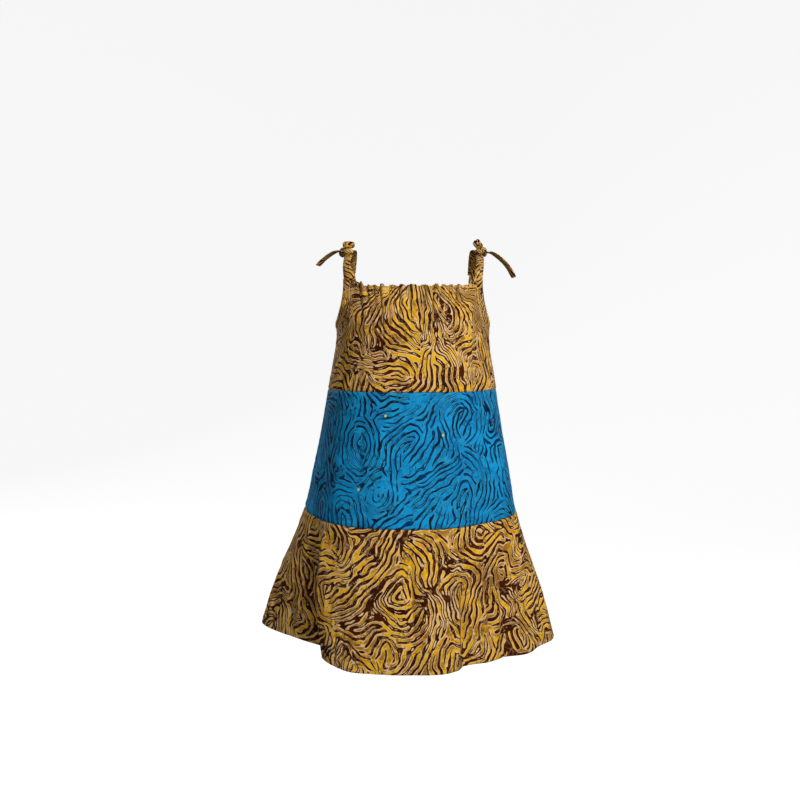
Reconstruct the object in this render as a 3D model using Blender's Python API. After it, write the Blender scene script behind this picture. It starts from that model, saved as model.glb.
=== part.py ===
"""A child's sleeveless tiered dress in wax print cotton, hollow and in its worn shape.

Metres, +Z up, the front faces -Y. The origin lies midway between the shoulders,
on the level where the straps rest. Right and left are the wearer's, so right is -X.
Run it with: blender --background --python part.py
"""

import math
from collections import namedtuple

import bmesh
import bpy
import numpy as np

# Cloth and seams
CLOTH = 0.0012  # wall of one layer of the print, with its seams
CASING = 0.0022  # the doubled neckline, where the elastic runs
CASING_DEPTH = 0.013
HEM_WALL = 0.0018  # the turned-up hem
HEM_DEPTH = 0.022
SEAM_GAP = 0.0003
TAPE = 0.0016  # the folded bias strip
BINDING_WIDTH = 0.0095
STRAP_WIDTH = 0.0120

# Levels down the side of the dress, measured from the shoulders
NECK = -0.045
UNDERARM = -0.107
UPPER_SEAM = -0.191
LOWER_SEAM = -0.359
HEM = -0.530

# Where the straps meet the neckline, in degrees from the front or back centre
FRONT_CORNER = 44.5
BACK_CORNER = 42.5
CORNER_RISE = 0.010  # the neckline climbs this much where the straps pull it up
CORNER_REACH = 11.0  # over this many degrees
ARMHOLE_ROUNDNESS = 1.8

SHOULDER_X = 0.0935  # the straps' middle on top of the shoulders
SHOULDER_SLOPE = 0.12
STRAP_STRAIGHT = 0.002
STRAP_RISE = 1.0  # how straight a strap leaves the neckline
STRAP_CROWN = 1.1  # how flat it lies over the shoulder

# Rings round the body. dip: how far the ring sinks at the centre front or back.
# half_width, front and back reach out from the middle; squareness 2 is an ellipse.
Section = namedtuple(
    "Section", "level front_dip back_dip half_width front back squareness sway"
)
SECTIONS = [
    Section(0.000, 0.004, 0.003, 0.1240, 0.0560, 0.0600, 2.40, -0.0020),
    Section(NECK, 0.004, 0.002, 0.1180, 0.0620, 0.0640, 2.40, -0.0020),
    Section(UNDERARM, 0.004, 0.003, 0.1085, 0.0800, 0.0770, 2.35, -0.0020),
    Section(UPPER_SEAM, 0.005, 0.004, 0.1190, 0.0940, 0.0890, 2.25, -0.0030),
    Section(-0.275, 0.011, 0.008, 0.1335, 0.1090, 0.1030, 2.20, -0.0045),
    Section(LOWER_SEAM, 0.018, 0.012, 0.1510, 0.1230, 0.1160, 2.15, -0.0060),
    Section(-0.445, 0.025, 0.015, 0.1810, 0.1340, 0.1290, 2.10, -0.0085),
    Section(-0.480, 0.028, 0.016, 0.1940, 0.1380, 0.1350, 2.07, -0.0090),
    Section(HEM, 0.0325, 0.018, 0.2070, 0.1430, 0.1420, 2.05, -0.0100),
]

# Folds round a level. angle: degrees from the centre front towards the wearer's left.
# out: ridge (+) or trough (-) in mm. slip: sideways lean in mm. lift: rise in mm.
Fold = namedtuple("Fold", "angle out slip lift")
UPPER_SEAM_FOLDS = [
    Fold(-160, 1.5, 0, 0),
    Fold(-128, -2.0, 0, 0),
    Fold(-100, 1.0, 0, 0),
    Fold(-66, -1.5, 0, 0),
    Fold(-30, 1.5, 0, 0),
    Fold(0, -1.0, 0, 0),
    Fold(26, 1.5, 0, 0),
    Fold(58, -1.5, 0, 0),
    Fold(96, 1.5, 0, 0),
    Fold(130, -2.0, 0, 0),
]
LOWER_SEAM_FOLDS = [
    Fold(-165, 3.0, 0, 0),
    Fold(-140, -4.0, 0, 0),
    Fold(-112, 3.0, 0, 0),
    Fold(-84, -2.0, 0, 0),
    Fold(-58, -2.5, 0, 0),
    Fold(-32, 3.5, 0, 0),
    Fold(-6, 1.0, 0, 0),
    Fold(24, -2.5, 0, 0),
    Fold(44, -3.5, 0, 0),
    Fold(62, 3.0, 0, 0),
    Fold(90, -1.0, 0, 0),
    Fold(116, 3.0, 0, 0),
    Fold(146, -3.5, 0, 0),
]
HEM_FOLD_START = 1.25  # folds open this slowly below the seam
# The hem tier's folds. seam: the angle on the seam above from which each one hangs.
HemFold = namedtuple("HemFold", "seam angle out slip lift")
HEM_FOLDS = [
    HemFold(-172, -172, -10, 0, 0),
    HemFold(-157, -157, 12, 3, 0),
    HemFold(-141, -141, -14, 0, 0),
    HemFold(-124, -124, 10, -3, 0),
    HemFold(-108, -108, -9, 0, 0),
    HemFold(-92, -92, 1, 0, 4),
    HemFold(-80, -78, -6, 0, 10),
    HemFold(-71, -64, -18, 0, 14),
    HemFold(-63, -51, -26, 2, 16),
    HemFold(-56, -40, -35, 7, 12),
    HemFold(-49, -31, -10, -9, 7),
    HemFold(-41, -23, 5, 0, 1),
    HemFold(-22, -12, 5, 0, 0),
    HemFold(2, 2, 5, 0, 0),
    HemFold(17, 13, 5, 3, 0),
    HemFold(27, 24, -13, 0, 3),
    HemFold(34, 32, -6, 0, 4),
    HemFold(42, 40, -14, 0, 3),
    HemFold(51, 50, 0, 0, 2),
    HemFold(62, 62, -4, 0, 0),
    HemFold(76, 76, 2, 0, -5),
    HemFold(90, 90, 0, 0, -7),
    HemFold(104, 104, -9, 0, -3),
    HemFold(120, 120, 11, 0, 0),
    HemFold(136, 136, -13, 0, 0),
    HemFold(152, 152, 13, -3, 0),
    HemFold(170, 170, 9, 0, 0),
]

# Neckline gathers: how many between the straps, how deep, and how fast they fade out
GATHERS_FRONT = 16
GATHERS_BACK = 15
GATHER_DEPTH = 0.0017
GATHER_FADE = 0.030
GATHER_UNEVEN = 0.35

# Bow pieces, from the middle of the knot: out from the neck, back, up, in mm
Point = namedtuple("Point", "out back up")
KNOT_SIZE = (0.0130, 0.0115, 0.0082)
KNOT_SIDES = 12
PINCHED = 0.006  # the tie's width where it comes out of the knot
LOOSE = 0.011  # and where it lies free
TAIL_TILT = 0.3  # a tail's face looks up, and a little out and back
LOOPS = {
    "loop_upper_right": [
        Point(-1.5, 0.5, 5.2),
        Point(-7.2, 1.5, 7.2),
        Point(-7.4, 0.5, 11.8),
        Point(-0.5, -1.0, 13.6),
        Point(6.8, -1.0, 11.6),
        Point(6.8, 0.0, 7.2),
        Point(1.5, -0.5, 5.2),
    ],
    "loop_upper_left": [
        Point(0.5, -1.6, 6.0),
        Point(-1.5, -5.0, 8.0),
        Point(-4.8, -4.6, 13.0),
        Point(-5.6, 0.5, 15.0),
        Point(-2.8, 5.4, 12.0),
        Point(0.8, 5.4, 8.0),
        Point(2.0, 1.8, 6.0),
    ],
    "loop_back_right": [
        Point(3.0, 6.1, 1.8),
        Point(7.5, 12.0, 6.5),
        Point(10.0, 21.0, 6.5),
        Point(11.0, 28.0, 0.0),
        Point(9.5, 23.5, -4.4),
        Point(6.5, 14.5, -1.8),
        Point(3.0, 6.2, -0.8),
    ],
    "loop_back_left": [
        Point(3.0, 6.1, 1.8),
        Point(6.0, 12.0, 7.0),
        Point(7.0, 21.0, 7.0),
        Point(8.0, 29.0, 0.5),
        Point(7.5, 24.0, -4.2),
        Point(6.0, 14.5, -1.6),
        Point(3.0, 6.2, -0.8),
    ],
}
TAILS = {
    "tail_outer_right": [
        Point(7.6, 1.0, -0.5),
        Point(16.0, 6.0, 1.0),
        Point(26.0, 14.0, -2.5),
        Point(36.0, 22.0, -8.5),
        Point(45.5, 29.0, -16.5),
    ],
    "tail_outer_left": [
        Point(7.6, 1.0, -0.8),
        Point(17.0, 6.0, -1.0),
        Point(30.0, 14.0, -8.0),
        Point(42.0, 22.0, -18.5),
        Point(52.0, 27.0, -34.0),
    ],
    "tail_back_right": [
        Point(-3.0, 6.1, 0.4),
        Point(-6.0, 15.0, 1.8),
        Point(-6.0, 27.0, -2.0),
        Point(-5.0, 40.0, -11.0),
        Point(-3.0, 51.0, -26.0),
    ],
    "tail_back_left": [
        Point(-3.0, 6.1, 0.4),
        Point(-6.5, 15.0, 2.0),
        Point(-7.5, 27.0, -1.5),
        Point(-8.0, 41.0, -11.5),
        Point(-8.5, 52.0, -29.0),
    ],
}

# Mesh density
SIDE_COLUMNS = 9
COLUMNS_PER_GATHER = 5
TOP_ROWS = (0.0, 0.07, 0.14, 0.26, 0.42, 0.62, 0.82, 1.0)
MIDDLE_COLUMNS = 40
MIDDLE_ROWS = 5
HEM_COLUMNS = 64
HEM_ROWS = (0.0, 0.16, 0.34, 0.52, 0.70, 0.88, 1.0)
LOOP_RINGS = 21
TAIL_RINGS = 13
STRAP_RINGS = 11
KNOT_RINGS = 7

YELLOW = (0.72, 0.50, 0.07)
BLUE = (0.01, 0.26, 0.52)


def clear_scene():
    for obj in list(bpy.data.objects):
        bpy.data.objects.remove(obj)


def cloth_material(name, colour):
    material = bpy.data.materials.new(name)
    material.use_nodes = True
    shader = material.node_tree.nodes["Principled BSDF"]
    shader.inputs["Base Color"].default_value = (*colour, 1.0)
    shader.inputs["Roughness"].default_value = 0.75
    shader.inputs["Metallic"].default_value = 0.0
    return material


def smooth(places, values, at, period=None):
    """A smooth curve through (places, values), read at `at`; a period joins its ends."""
    places = np.asarray(places, float)
    values = np.asarray(values, float).reshape(len(places), -1)
    order = np.argsort(places)
    places, values = places[order], values[order]
    if period:
        at = (at - places[0]) % period + places[0]
        places = np.concatenate([places[-2:] - period, places, places[:2] + period])
        values = np.concatenate([values[-2:], values, values[:2]])
    steps = np.diff(places)
    rises = np.diff(values, axis=0) / steps[:, None]
    slopes = np.empty_like(values)
    slopes[0], slopes[-1] = rises[0], rises[-1]
    weight = steps[:, None]
    slopes[1:-1] = (rises[:-1] * weight[1:] + rises[1:] * weight[:-1]) / (
        weight[1:] + weight[:-1]
    )
    i = int(np.clip(np.searchsorted(places, at) - 1, 0, len(steps) - 1))
    t = (at - places[i]) / steps[i]
    return (
        values[i] * (1 + 2 * t) * (1 - t) ** 2
        + slopes[i] * steps[i] * t * (1 - t) ** 2
        + values[i + 1] * t * t * (3 - 2 * t)
        + slopes[i + 1] * steps[i] * t * t * (t - 1)
    )


def unit(vectors):
    return vectors / np.linalg.norm(vectors, axis=-1, keepdims=True)


def ease(t):
    t = min(1.0, max(0.0, t))
    return t * t * (3 - 2 * t)


def power(value, exponent):
    return math.copysign(abs(value) ** exponent, value)


def section_at(level):
    levels = [s.level for s in SECTIONS]
    rows = [s[1:] for s in SECTIONS]
    return Section(level, *smooth(levels, rows, level))


def folds_at(table, angle):
    """Out, slip and lift at an angle, in metres."""
    rows = [(f.out, f.slip, f.lift) for f in table]
    return smooth([f.angle for f in table], rows, angle, period=360) / 1000


def seam_angle_above(angle):
    """Where on the lower seam the cloth at an angle of the hem hangs from."""
    drift = [f.seam - f.angle for f in HEM_FOLDS]
    return angle + smooth([f.angle for f in HEM_FOLDS], drift, angle, period=360)[0]


def gather_at(angle, level):
    """How far the neckline's gathers stand out."""
    front = abs(angle) < 90
    centre = 0 if front else math.copysign(180, angle)
    corner = FRONT_CORNER if front else BACK_CORNER
    count = GATHERS_FRONT if front else GATHERS_BACK
    across = (angle - centre) / corner
    if abs(across) >= 1:
        return 0.0
    turns = (across + 1) / 2 * count
    uneven = 1 + GATHER_UNEVEN * math.sin(turns * 2.4 + 0.7)
    phase = 2 * math.pi * (turns + 0.12 * math.sin(turns * 1.7))
    fade = math.exp(-(NECK - level) / (GATHER_FADE * uneven)) if level < NECK else 1.0
    margin = ease((1 - abs(across)) * 6)
    return GATHER_DEPTH * uneven * fade * margin * math.sin(phase)


def displacement(angle, level):
    """Out, slip and lift of the two upper tiers against their plain rings."""
    upper = folds_at(UPPER_SEAM_FOLDS, angle)
    if level > UPPER_SEAM:
        move = upper * ease((UNDERARM - level) / (UNDERARM - UPPER_SEAM))
    else:
        share = (UPPER_SEAM - level) / (UPPER_SEAM - LOWER_SEAM)
        move = upper + (folds_at(LOWER_SEAM_FOLDS, angle) - upper) * share
    return move + np.array([gather_at(angle, level), 0.0, 0.0])


def ring_point(angle, level):
    """A point of the plain ring, with no folds."""
    s = section_at(level)
    sine, cosine = math.sin(math.radians(angle)), math.cos(math.radians(angle))
    reach = s.front if cosine > 0 else s.back
    dip = s.front_dip if cosine > 0 else s.back_dip
    x = s.sway + s.half_width * power(sine, 2 / s.squareness)
    y = -reach * power(cosine, 2 / s.squareness)
    return np.array([x, y, level - dip * abs(cosine)])


def moved_point(angle, level, move):
    """A ring's point, moved out, along the ring and up."""
    here = ring_point(angle, level)
    step = 0.5
    along = unit(ring_point(angle + step, level) - ring_point(angle - step, level))
    outward = unit(np.cross(along, [0.0, 0.0, 1.0]))
    out, slip, lift = move
    return here + outward * out + along * slip + np.array([0.0, 0.0, lift])


def body_point(angle, level):
    """A point on the middle surface of the two upper tiers."""
    return moved_point(angle, level, displacement(angle, level))


def hem_tier_point(angle, level):
    """A point on the hem tier's middle surface; the angle is the one at the hem."""
    share = (LOWER_SEAM - level) / (LOWER_SEAM - HEM)
    seam = seam_angle_above(angle)
    upper = folds_at(LOWER_SEAM_FOLDS, seam)
    move = upper + (folds_at(HEM_FOLDS, angle) - upper) * share**HEM_FOLD_START
    return moved_point(seam + (angle - seam) * share, level, move)


def surface_normal(angle, level):
    step, drop = 0.4, 0.0008
    along = body_point(angle + step, level) - body_point(angle - step, level)
    up = body_point(angle, level + drop) - body_point(angle, level - drop)
    normal = np.cross(along, up)
    return normal / np.linalg.norm(normal)


def top_level(angle):
    """The level of the upper tier's top edge: the neckline, then the armhole."""
    front = abs(angle) < 90
    corner = FRONT_CORNER if front else BACK_CORNER
    off_centre = abs(angle) if front else 180 - abs(angle)
    rise = CORNER_RISE * ease((off_centre - corner + CORNER_REACH) / CORNER_REACH) ** 2
    if off_centre <= corner:
        return NECK + rise
    top = NECK + CORNER_RISE
    u = min(1.0, (off_centre - corner) / (90 - corner))
    p = ARMHOLE_ROUNDNESS
    return top - (top - UNDERARM) * (1 - (1 - u) ** p) ** (1 / p)


def armhole_shares():
    """Shares of the way from a corner to the underarm, closer where the edge is steep."""
    return [1 - math.cos(math.pi / 2 * k / SIDE_COLUMNS) for k in range(SIDE_COLUMNS + 1)]


def top_angles(centre, corner, gathers, gap):
    """The columns of a panel of the upper tier, from one side seam to the other."""
    side = [corner + (90 - corner) * u for u in armhole_shares()[1:]]
    side[-1] -= gap
    count = gathers * COLUMNS_PER_GATHER
    middle = [corner * (2 * k / count - 1) for k in range(count + 1)]
    return [centre + a for a in [*(-s for s in reversed(side)), *middle, *side]]


def seam_angle(level):
    """Half the side seam's gap, in degrees."""
    return math.degrees(SEAM_GAP / 2 / section_at(level).front)


def even_angles(centre, columns, gap):
    span = 180 - 2 * gap
    return [centre - span / 2 + span * k / columns for k in range(columns + 1)]


def make_object(name, vertices, faces, material):
    mesh = bpy.data.meshes.new(name)
    mesh.from_pydata([tuple(v) for v in vertices], [], faces)
    work = bmesh.new()
    work.from_mesh(mesh)
    bmesh.ops.recalc_face_normals(work, faces=work.faces)
    work.to_mesh(mesh)
    work.free()
    mesh.materials.append(material)
    mesh.shade_smooth()
    mesh.set_sharp_from_angle(angle=math.radians(50))
    obj = bpy.data.objects.new(name, mesh)
    bpy.context.scene.collection.objects.link(obj)
    return obj


def cloth_wall(name, grid, thickness, material):
    """A closed wall about a grid of middle points; thickness is one number for each row."""
    grid = np.array(grid)
    columns, rows = grid.shape[:2]
    across = np.gradient(grid, axis=0)
    down = np.gradient(grid, axis=1)
    normals = unit(np.cross(down, across))
    half = np.asarray(thickness)[None, :, None] / 2
    outer, inner = grid + normals * half, grid - normals * half
    vertices = [*outer.reshape(-1, 3), *inner.reshape(-1, 3)]
    size = columns * rows

    def spot(column, row, layer=0):
        return column * rows + row + layer * size

    faces = []
    for c in range(columns - 1):
        for r in range(rows - 1):
            loop = [(c, r), (c, r + 1), (c + 1, r + 1), (c + 1, r)]
            faces.append([spot(*p) for p in loop])
            faces.append([spot(*p, 1) for p in reversed(loop)])
    border = [(c, 0) for c in range(columns)]
    border += [(columns - 1, r) for r in range(1, rows)]
    border += [(c, rows - 1) for c in range(columns - 2, -1, -1)]
    border += [(0, r) for r in range(rows - 2, 0, -1)]
    for a, b in zip(border, border[1:] + border[:1]):
        faces.append([spot(*a), spot(*b), spot(*b, 1), spot(*a, 1)])
    return make_object(name, vertices, faces, material)


def even_along_hem(centre, columns, gap):
    """Angles that lie equal lengths of cloth apart along the hem."""
    angles = np.linspace(centre - 90 + gap, centre + 90 - gap, 721)
    points = np.array([hem_tier_point(a, HEM) for a in angles])
    along = np.concatenate([[0], np.cumsum(np.linalg.norm(np.diff(points, axis=0), axis=1))])
    return np.interp(np.linspace(0, along[-1], columns + 1), along, angles)


def build_top(material):
    for name, centre, corner, gathers in (
        ("top_front", 0, FRONT_CORNER, GATHERS_FRONT),
        ("top_back", 180, BACK_CORNER, GATHERS_BACK),
    ):
        angles = top_angles(centre, corner, gathers, seam_angle(UPPER_SEAM))
        bottom = UPPER_SEAM + SEAM_GAP / 2
        grid = []
        for angle in angles:
            angle = (angle + 180) % 360 - 180
            top = top_level(angle)
            grid.append([body_point(angle, top + (bottom - top) * r) for r in TOP_ROWS])
        depth = (NECK - bottom) * np.array(TOP_ROWS)
        thickness = np.where(depth <= CASING_DEPTH, CASING, CLOTH)
        cloth_wall(name, grid, thickness, material)


def build_middle(material):
    levels = np.linspace(
        UPPER_SEAM - SEAM_GAP / 2, LOWER_SEAM + SEAM_GAP / 2, MIDDLE_ROWS + 1
    )
    for name, centre in (("middle_front", 0), ("middle_back", 180)):
        angles = even_angles(centre, MIDDLE_COLUMNS, seam_angle(UPPER_SEAM))
        grid = [[body_point(a, level) for level in levels] for a in angles]
        cloth_wall(name, grid, np.full(len(levels), CLOTH), material)


def build_hem(material):
    top = LOWER_SEAM - SEAM_GAP / 2
    levels = [top + (HEM - top) * r for r in HEM_ROWS]
    turned_up = [level <= HEM + HEM_DEPTH for level in levels]
    thickness = np.where(turned_up, HEM_WALL, CLOTH)
    for name, centre in (("hem_front", 0), ("hem_back", 180)):
        angles = even_along_hem(centre, HEM_COLUMNS, seam_angle(LOWER_SEAM))
        grid = [[hem_tier_point(a, level) for level in levels] for a in angles]
        cloth_wall(name, grid, thickness, material)


def ribbon(name, path, normals, widths, thickness, material):
    """A flat strip with rounded edges along a path; its faces look along the normals."""
    path = np.array(path)
    tangents = unit(np.gradient(path, axis=0))
    normals = np.array(normals, float)
    normals -= tangents * (normals * tangents).sum(axis=1, keepdims=True)
    normals = unit(normals)
    sideways = np.cross(tangents, normals)
    half = thickness / 2
    vertices = []
    for p, n, s, width in zip(path, normals, sideways, widths):
        flat = width / 2 - half
        outline = [(flat + half, 0), (flat, half), (-flat, half)]
        outline += [(-a, -b) for a, b in outline]
        vertices += [p + s * a + n * b for a, b in outline]
    sides, rings = 6, len(path)
    faces = []
    for r in range(rings - 1):
        for k in range(sides):
            j = (k + 1) % sides
            faces.append(
                [r * sides + k, r * sides + j, (r + 1) * sides + j, (r + 1) * sides + k]
            )
    faces.append(list(reversed(range(sides))))
    faces.append([(rings - 1) * sides + k for k in range(sides)])
    return make_object(name, vertices, faces, material)


def binding_path(side):
    """The middle of an armhole's binding, from front to back, and its normals."""
    shares = armhole_shares()
    front = [FRONT_CORNER + (90 - FRONT_CORNER) * u for u in shares]
    back = [180 - BACK_CORNER - (90 - BACK_CORNER) * u for u in shares]
    angles = front + list(reversed(back[:-1]))
    edge = np.array([body_point(side * a, top_level(side * a)) for a in angles])
    normals = np.array([surface_normal(side * a, top_level(side * a)) for a in angles])
    tangents = unit(np.gradient(edge, axis=0))
    away = unit(np.cross(normals, tangents)) * side
    path = edge + away * (BINDING_WIDTH / 2 + SEAM_GAP)
    return path, normals


def build_binding(side, suffix, material):
    path, normals = binding_path(side)
    widths = [BINDING_WIDTH] * len(path)
    ribbon("armhole_binding_" + suffix, path, normals, widths, TAPE, material)
    return path, normals


def strap_path(base, onward, side):
    """From the end of a binding up to the shoulder, where it stops under the knot."""
    start = base + onward * (SEAM_GAP + STRAP_STRAIGHT)
    top = np.array([side * SHOULDER_X, 0.0, -TAPE / 2])
    top[1] = math.copysign(SEAM_GAP / 2, base[1])
    reach = np.linalg.norm(top - start)
    leave = onward * reach * STRAP_RISE
    arrive = np.array([0.0, -math.copysign(reach * STRAP_CROWN, base[1]), 0.0])
    path = [base + onward * SEAM_GAP]
    for t in np.linspace(0, 1, STRAP_RINGS):
        path.append(
            start * (1 + 2 * t) * (1 - t) ** 2
            + leave * t * (1 - t) ** 2
            + top * t * t * (3 - 2 * t)
            + arrive * t * t * (t - 1)
        )
    return np.array(path)


def build_straps(side, suffix, binding, normals, material):
    shoulder = np.array([side * SHOULDER_SLOPE, 0.0, 1.0])
    for name, end, onward, normal in (
        ("strap_front_", binding[0], binding[0] - binding[1], normals[0]),
        ("strap_back_", binding[-1], binding[-1] - binding[-2], normals[-1]),
    ):
        path = strap_path(end, unit(onward), side)
        shares = np.linspace(0, 1, len(path))
        hints = [normal * (1 - s) + shoulder * s for s in shares]
        widths = BINDING_WIDTH + (STRAP_WIDTH - BINDING_WIDTH) * np.minimum(1, shares * 3)
        ribbon(name + suffix, path, hints, widths, TAPE, material)


def knot_middle(side):
    return np.array([side * SHOULDER_X, 0.0, 2 * SEAM_GAP + KNOT_SIZE[2] / 2])


def build_knot(side, suffix, material):
    """A squat ball, pressed flat where it lies on the straps."""
    middle = knot_middle(side)
    vertices, faces = [], []
    for r in range(1, KNOT_RINGS):
        tilt = math.pi * r / KNOT_RINGS
        for k in range(KNOT_SIDES):
            turn = 2 * math.pi * k / KNOT_SIDES
            shape = (
                power(math.sin(tilt), 0.75) * power(math.cos(turn), 0.8),
                power(math.sin(tilt), 0.75) * power(math.sin(turn), 0.8),
                power(math.cos(tilt), 0.8),
            )
            vertices.append(middle + np.array(shape) * np.array(KNOT_SIZE) / 2)
    for r in range(KNOT_RINGS - 2):
        for k in range(KNOT_SIDES):
            j = (k + 1) % KNOT_SIDES
            a, b = r * KNOT_SIDES, (r + 1) * KNOT_SIDES
            faces.append([a + k, b + k, b + j, a + j])
    faces.append(list(range(KNOT_SIDES)))
    last = (KNOT_RINGS - 2) * KNOT_SIDES
    faces.append([last + k for k in reversed(range(KNOT_SIDES))])
    make_object("knot_" + suffix, vertices, faces, material)


def placed(side, points):
    """Points of a bow, from the knot's own directions to the dress's."""
    middle = knot_middle(side)
    rows = [(side * p.out, p.back, p.up) for p in points]
    return middle + np.array(rows) / 1000


def curve_through(points, count):
    lengths = np.linalg.norm(np.diff(points, axis=0), axis=1)
    along = np.concatenate([[0], np.cumsum(lengths)])
    return np.array([smooth(along, points, a) for a in np.linspace(0, along[-1], count)])


def build_bow(side, suffix, material):
    for name, points in LOOPS.items():
        if name.endswith(suffix):
            path = curve_through(placed(side, points), LOOP_RINGS)
            shares = np.linspace(0, 1, LOOP_RINGS)
            widths = np.interp(shares, [0, 0.25, 0.75, 1], [PINCHED, LOOSE, LOOSE, PINCHED])
            ribbon(name, path, path - path.mean(axis=0), widths, TAPE, material)
    for name, points in TAILS.items():
        if name.endswith(suffix):
            path = curve_through(placed(side, points), TAIL_RINGS)
            shares = np.linspace(0, 1, TAIL_RINGS)
            widths = np.interp(shares, [0, 0.3, 1], [PINCHED, LOOSE, LOOSE])
            faces_up = [[side * TAIL_TILT, TAIL_TILT, 1.0]] * TAIL_RINGS
            ribbon(name, path, faces_up, widths, TAPE, material)


def main():
    clear_scene()
    yellow = cloth_material("yellow_print", YELLOW)
    blue = cloth_material("blue_print", BLUE)
    ties = cloth_material("tie_print", YELLOW)
    build_top(yellow)
    build_middle(blue)
    build_hem(yellow)
    for side, suffix in ((-1, "right"), (1, "left")):
        path, normals = build_binding(side, suffix, ties)
        build_straps(side, suffix, path, normals, ties)
        build_knot(side, suffix, ties)
        build_bow(side, suffix, ties)


if __name__ == "__main__":
    main()
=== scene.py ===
"""The looks of a child's wax print dress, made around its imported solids.

Metres, +Z up, the front faces -Y. Every panel is a thin shell of cotton on the form of
its solid, with finer creases. The print is worked out from seeded random fields.
"""

import math
from collections import namedtuple

import bpy
import numpy as np
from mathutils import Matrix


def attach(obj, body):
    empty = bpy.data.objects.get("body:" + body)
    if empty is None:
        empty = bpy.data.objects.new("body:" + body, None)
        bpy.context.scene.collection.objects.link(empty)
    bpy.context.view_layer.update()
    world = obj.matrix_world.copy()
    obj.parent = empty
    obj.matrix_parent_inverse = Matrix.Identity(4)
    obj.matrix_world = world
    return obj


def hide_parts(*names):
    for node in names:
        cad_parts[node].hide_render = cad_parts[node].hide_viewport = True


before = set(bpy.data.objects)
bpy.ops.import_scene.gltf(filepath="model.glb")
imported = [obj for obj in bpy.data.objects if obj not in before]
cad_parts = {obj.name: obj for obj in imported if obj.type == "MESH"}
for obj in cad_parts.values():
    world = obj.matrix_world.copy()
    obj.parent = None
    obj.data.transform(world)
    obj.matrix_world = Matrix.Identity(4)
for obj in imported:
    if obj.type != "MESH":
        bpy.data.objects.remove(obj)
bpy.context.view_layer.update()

# Levels down the side of the dress, measured from the shoulders
NECK = -0.045
UNDERARM = -0.107
UPPER_SEAM = -0.191
LOWER_SEAM = -0.359
HEM = -0.530

# The neckline's corners, where the straps start
FRONT_CORNER = 44.5
BACK_CORNER = 42.5
CORNER_RISE = 0.010
CORNER_REACH = 11.0
WIDE_CORNER_REACH = 18.0  # the wearer's right front corner curves in more gently
ARMHOLE_ROUNDNESS = 1.8

# Straps and bindings
SEAM_GAP = 0.0003
TAPE = 0.0016
BINDING_WIDTH = 0.0095
STRAP_WIDTH = 0.0120
SHOULDER_X = 0.0935
SHOULDER_SLOPE = 0.12
STRAP_STRAIGHT = 0.002
STRAP_RISE = 1.0
STRAP_CROWN = 1.1

# Cloth
COTTON = 0.0007  # one layer
GRID = 0.0012  # the panels' outer layer; the inner is half as fine
EDGE_GRID = 0.0008  # and within EDGE_ROWS of a seam
EDGE_ROWS = 0.0045
ROLL_DEPTH = 0.0013  # panels turn in at their seams
ROLL_WIDTH = 0.0042
PUCKER_DEPTH = 0.00035
PUCKER_WIDTH = 0.009
RUMPLE_DEPTH = 0.0005
CREASE_SHARPNESS = 1.4  # 2 is round, 1 is a sharp fold
TURN_SOFTNESS = 0.0016
GROOVE_WIDTH = 0.0010  # the cloth dips along its stitches
GROOVE_DEPTH = 0.00022
GROOVE_UNEVEN = 0.00012
EDGE_SAMPLES = 3001  # points along an edge, to measure it
STITCH = 0.0030  # from one stitch to the next
STITCH_LENGTH = 0.0022
STITCH_WIDTH = 0.00055
BINDING_STITCH = 0.0016  # in from the binding's edge

# Along a stitch: the place on its length, then its thickness and rise there
STITCH_RINGS = [(-1.0, 0.25, -0.2), (-0.6, 0.9, 0.5), (0.6, 0.9, 0.5), (1.0, 0.25, -0.2)]

# Turned edges: how deep, where the stitches lie, the cloth added, and the stitches' name
Turned = namedtuple("Turned", "depth stitch layer suffix")
CASING = Turned(0.0135, 0.0115, 0.0007, "_casing_stitches")
TURN_UP = Turned(0.020, 0.0175, 0.0006, "_stitches")

# Rings round the body, as in the solids
Section = namedtuple("Section", "level front_dip back_dip half_width front back squareness sway")
SECTIONS = [
    Section(0.000, 0.004, 0.003, 0.1240, 0.0560, 0.0600, 2.40, -0.0020),
    Section(NECK, 0.004, 0.002, 0.1180, 0.0620, 0.0640, 2.40, -0.0020),
    Section(UNDERARM, 0.004, 0.003, 0.1085, 0.0800, 0.0770, 2.35, -0.0020),
    Section(UPPER_SEAM, 0.005, 0.004, 0.1190, 0.0940, 0.0890, 2.25, -0.0030),
    Section(-0.275, 0.011, 0.008, 0.1335, 0.1090, 0.1030, 2.20, -0.0045),
    Section(LOWER_SEAM, 0.018, 0.012, 0.1510, 0.1230, 0.1160, 2.15, -0.0060),
    Section(-0.445, 0.025, 0.015, 0.1810, 0.1340, 0.1290, 2.10, -0.0085),
    Section(-0.480, 0.028, 0.016, 0.1940, 0.1380, 0.1350, 2.07, -0.0090),
    Section(HEM, 0.0325, 0.018, 0.2070, 0.1430, 0.1420, 2.05, -0.0100),
]

# Large folds, as in the solids: degrees from the centre front, then mm
Fold = namedtuple("Fold", "angle out slip lift", defaults=(0, 0))
UPPER_SEAM_FOLDS = [
    Fold(-160, 1.5),
    Fold(-128, -2.0),
    Fold(-100, 1.0),
    Fold(-66, -1.5),
    Fold(-30, 1.5),
    Fold(0, -1.0),
    Fold(26, 1.5),
    Fold(58, -1.5),
    Fold(96, 1.5),
    Fold(130, -2.0),
]
LOWER_SEAM_FOLDS = [
    Fold(-165, 3.0),
    Fold(-140, -4.0),
    Fold(-112, 3.0),
    Fold(-84, -2.0),
    Fold(-58, -2.5),
    Fold(-32, 3.5),
    Fold(-6, 1.0),
    Fold(24, -2.5),
    Fold(44, -3.5),
    Fold(62, 3.0),
    Fold(90, -1.0),
    Fold(116, 3.0),
    Fold(146, -3.5),
]
HEM_FOLD_START = 1.25
HemFold = namedtuple("HemFold", "seam angle out slip lift", defaults=(0, 0))
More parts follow.
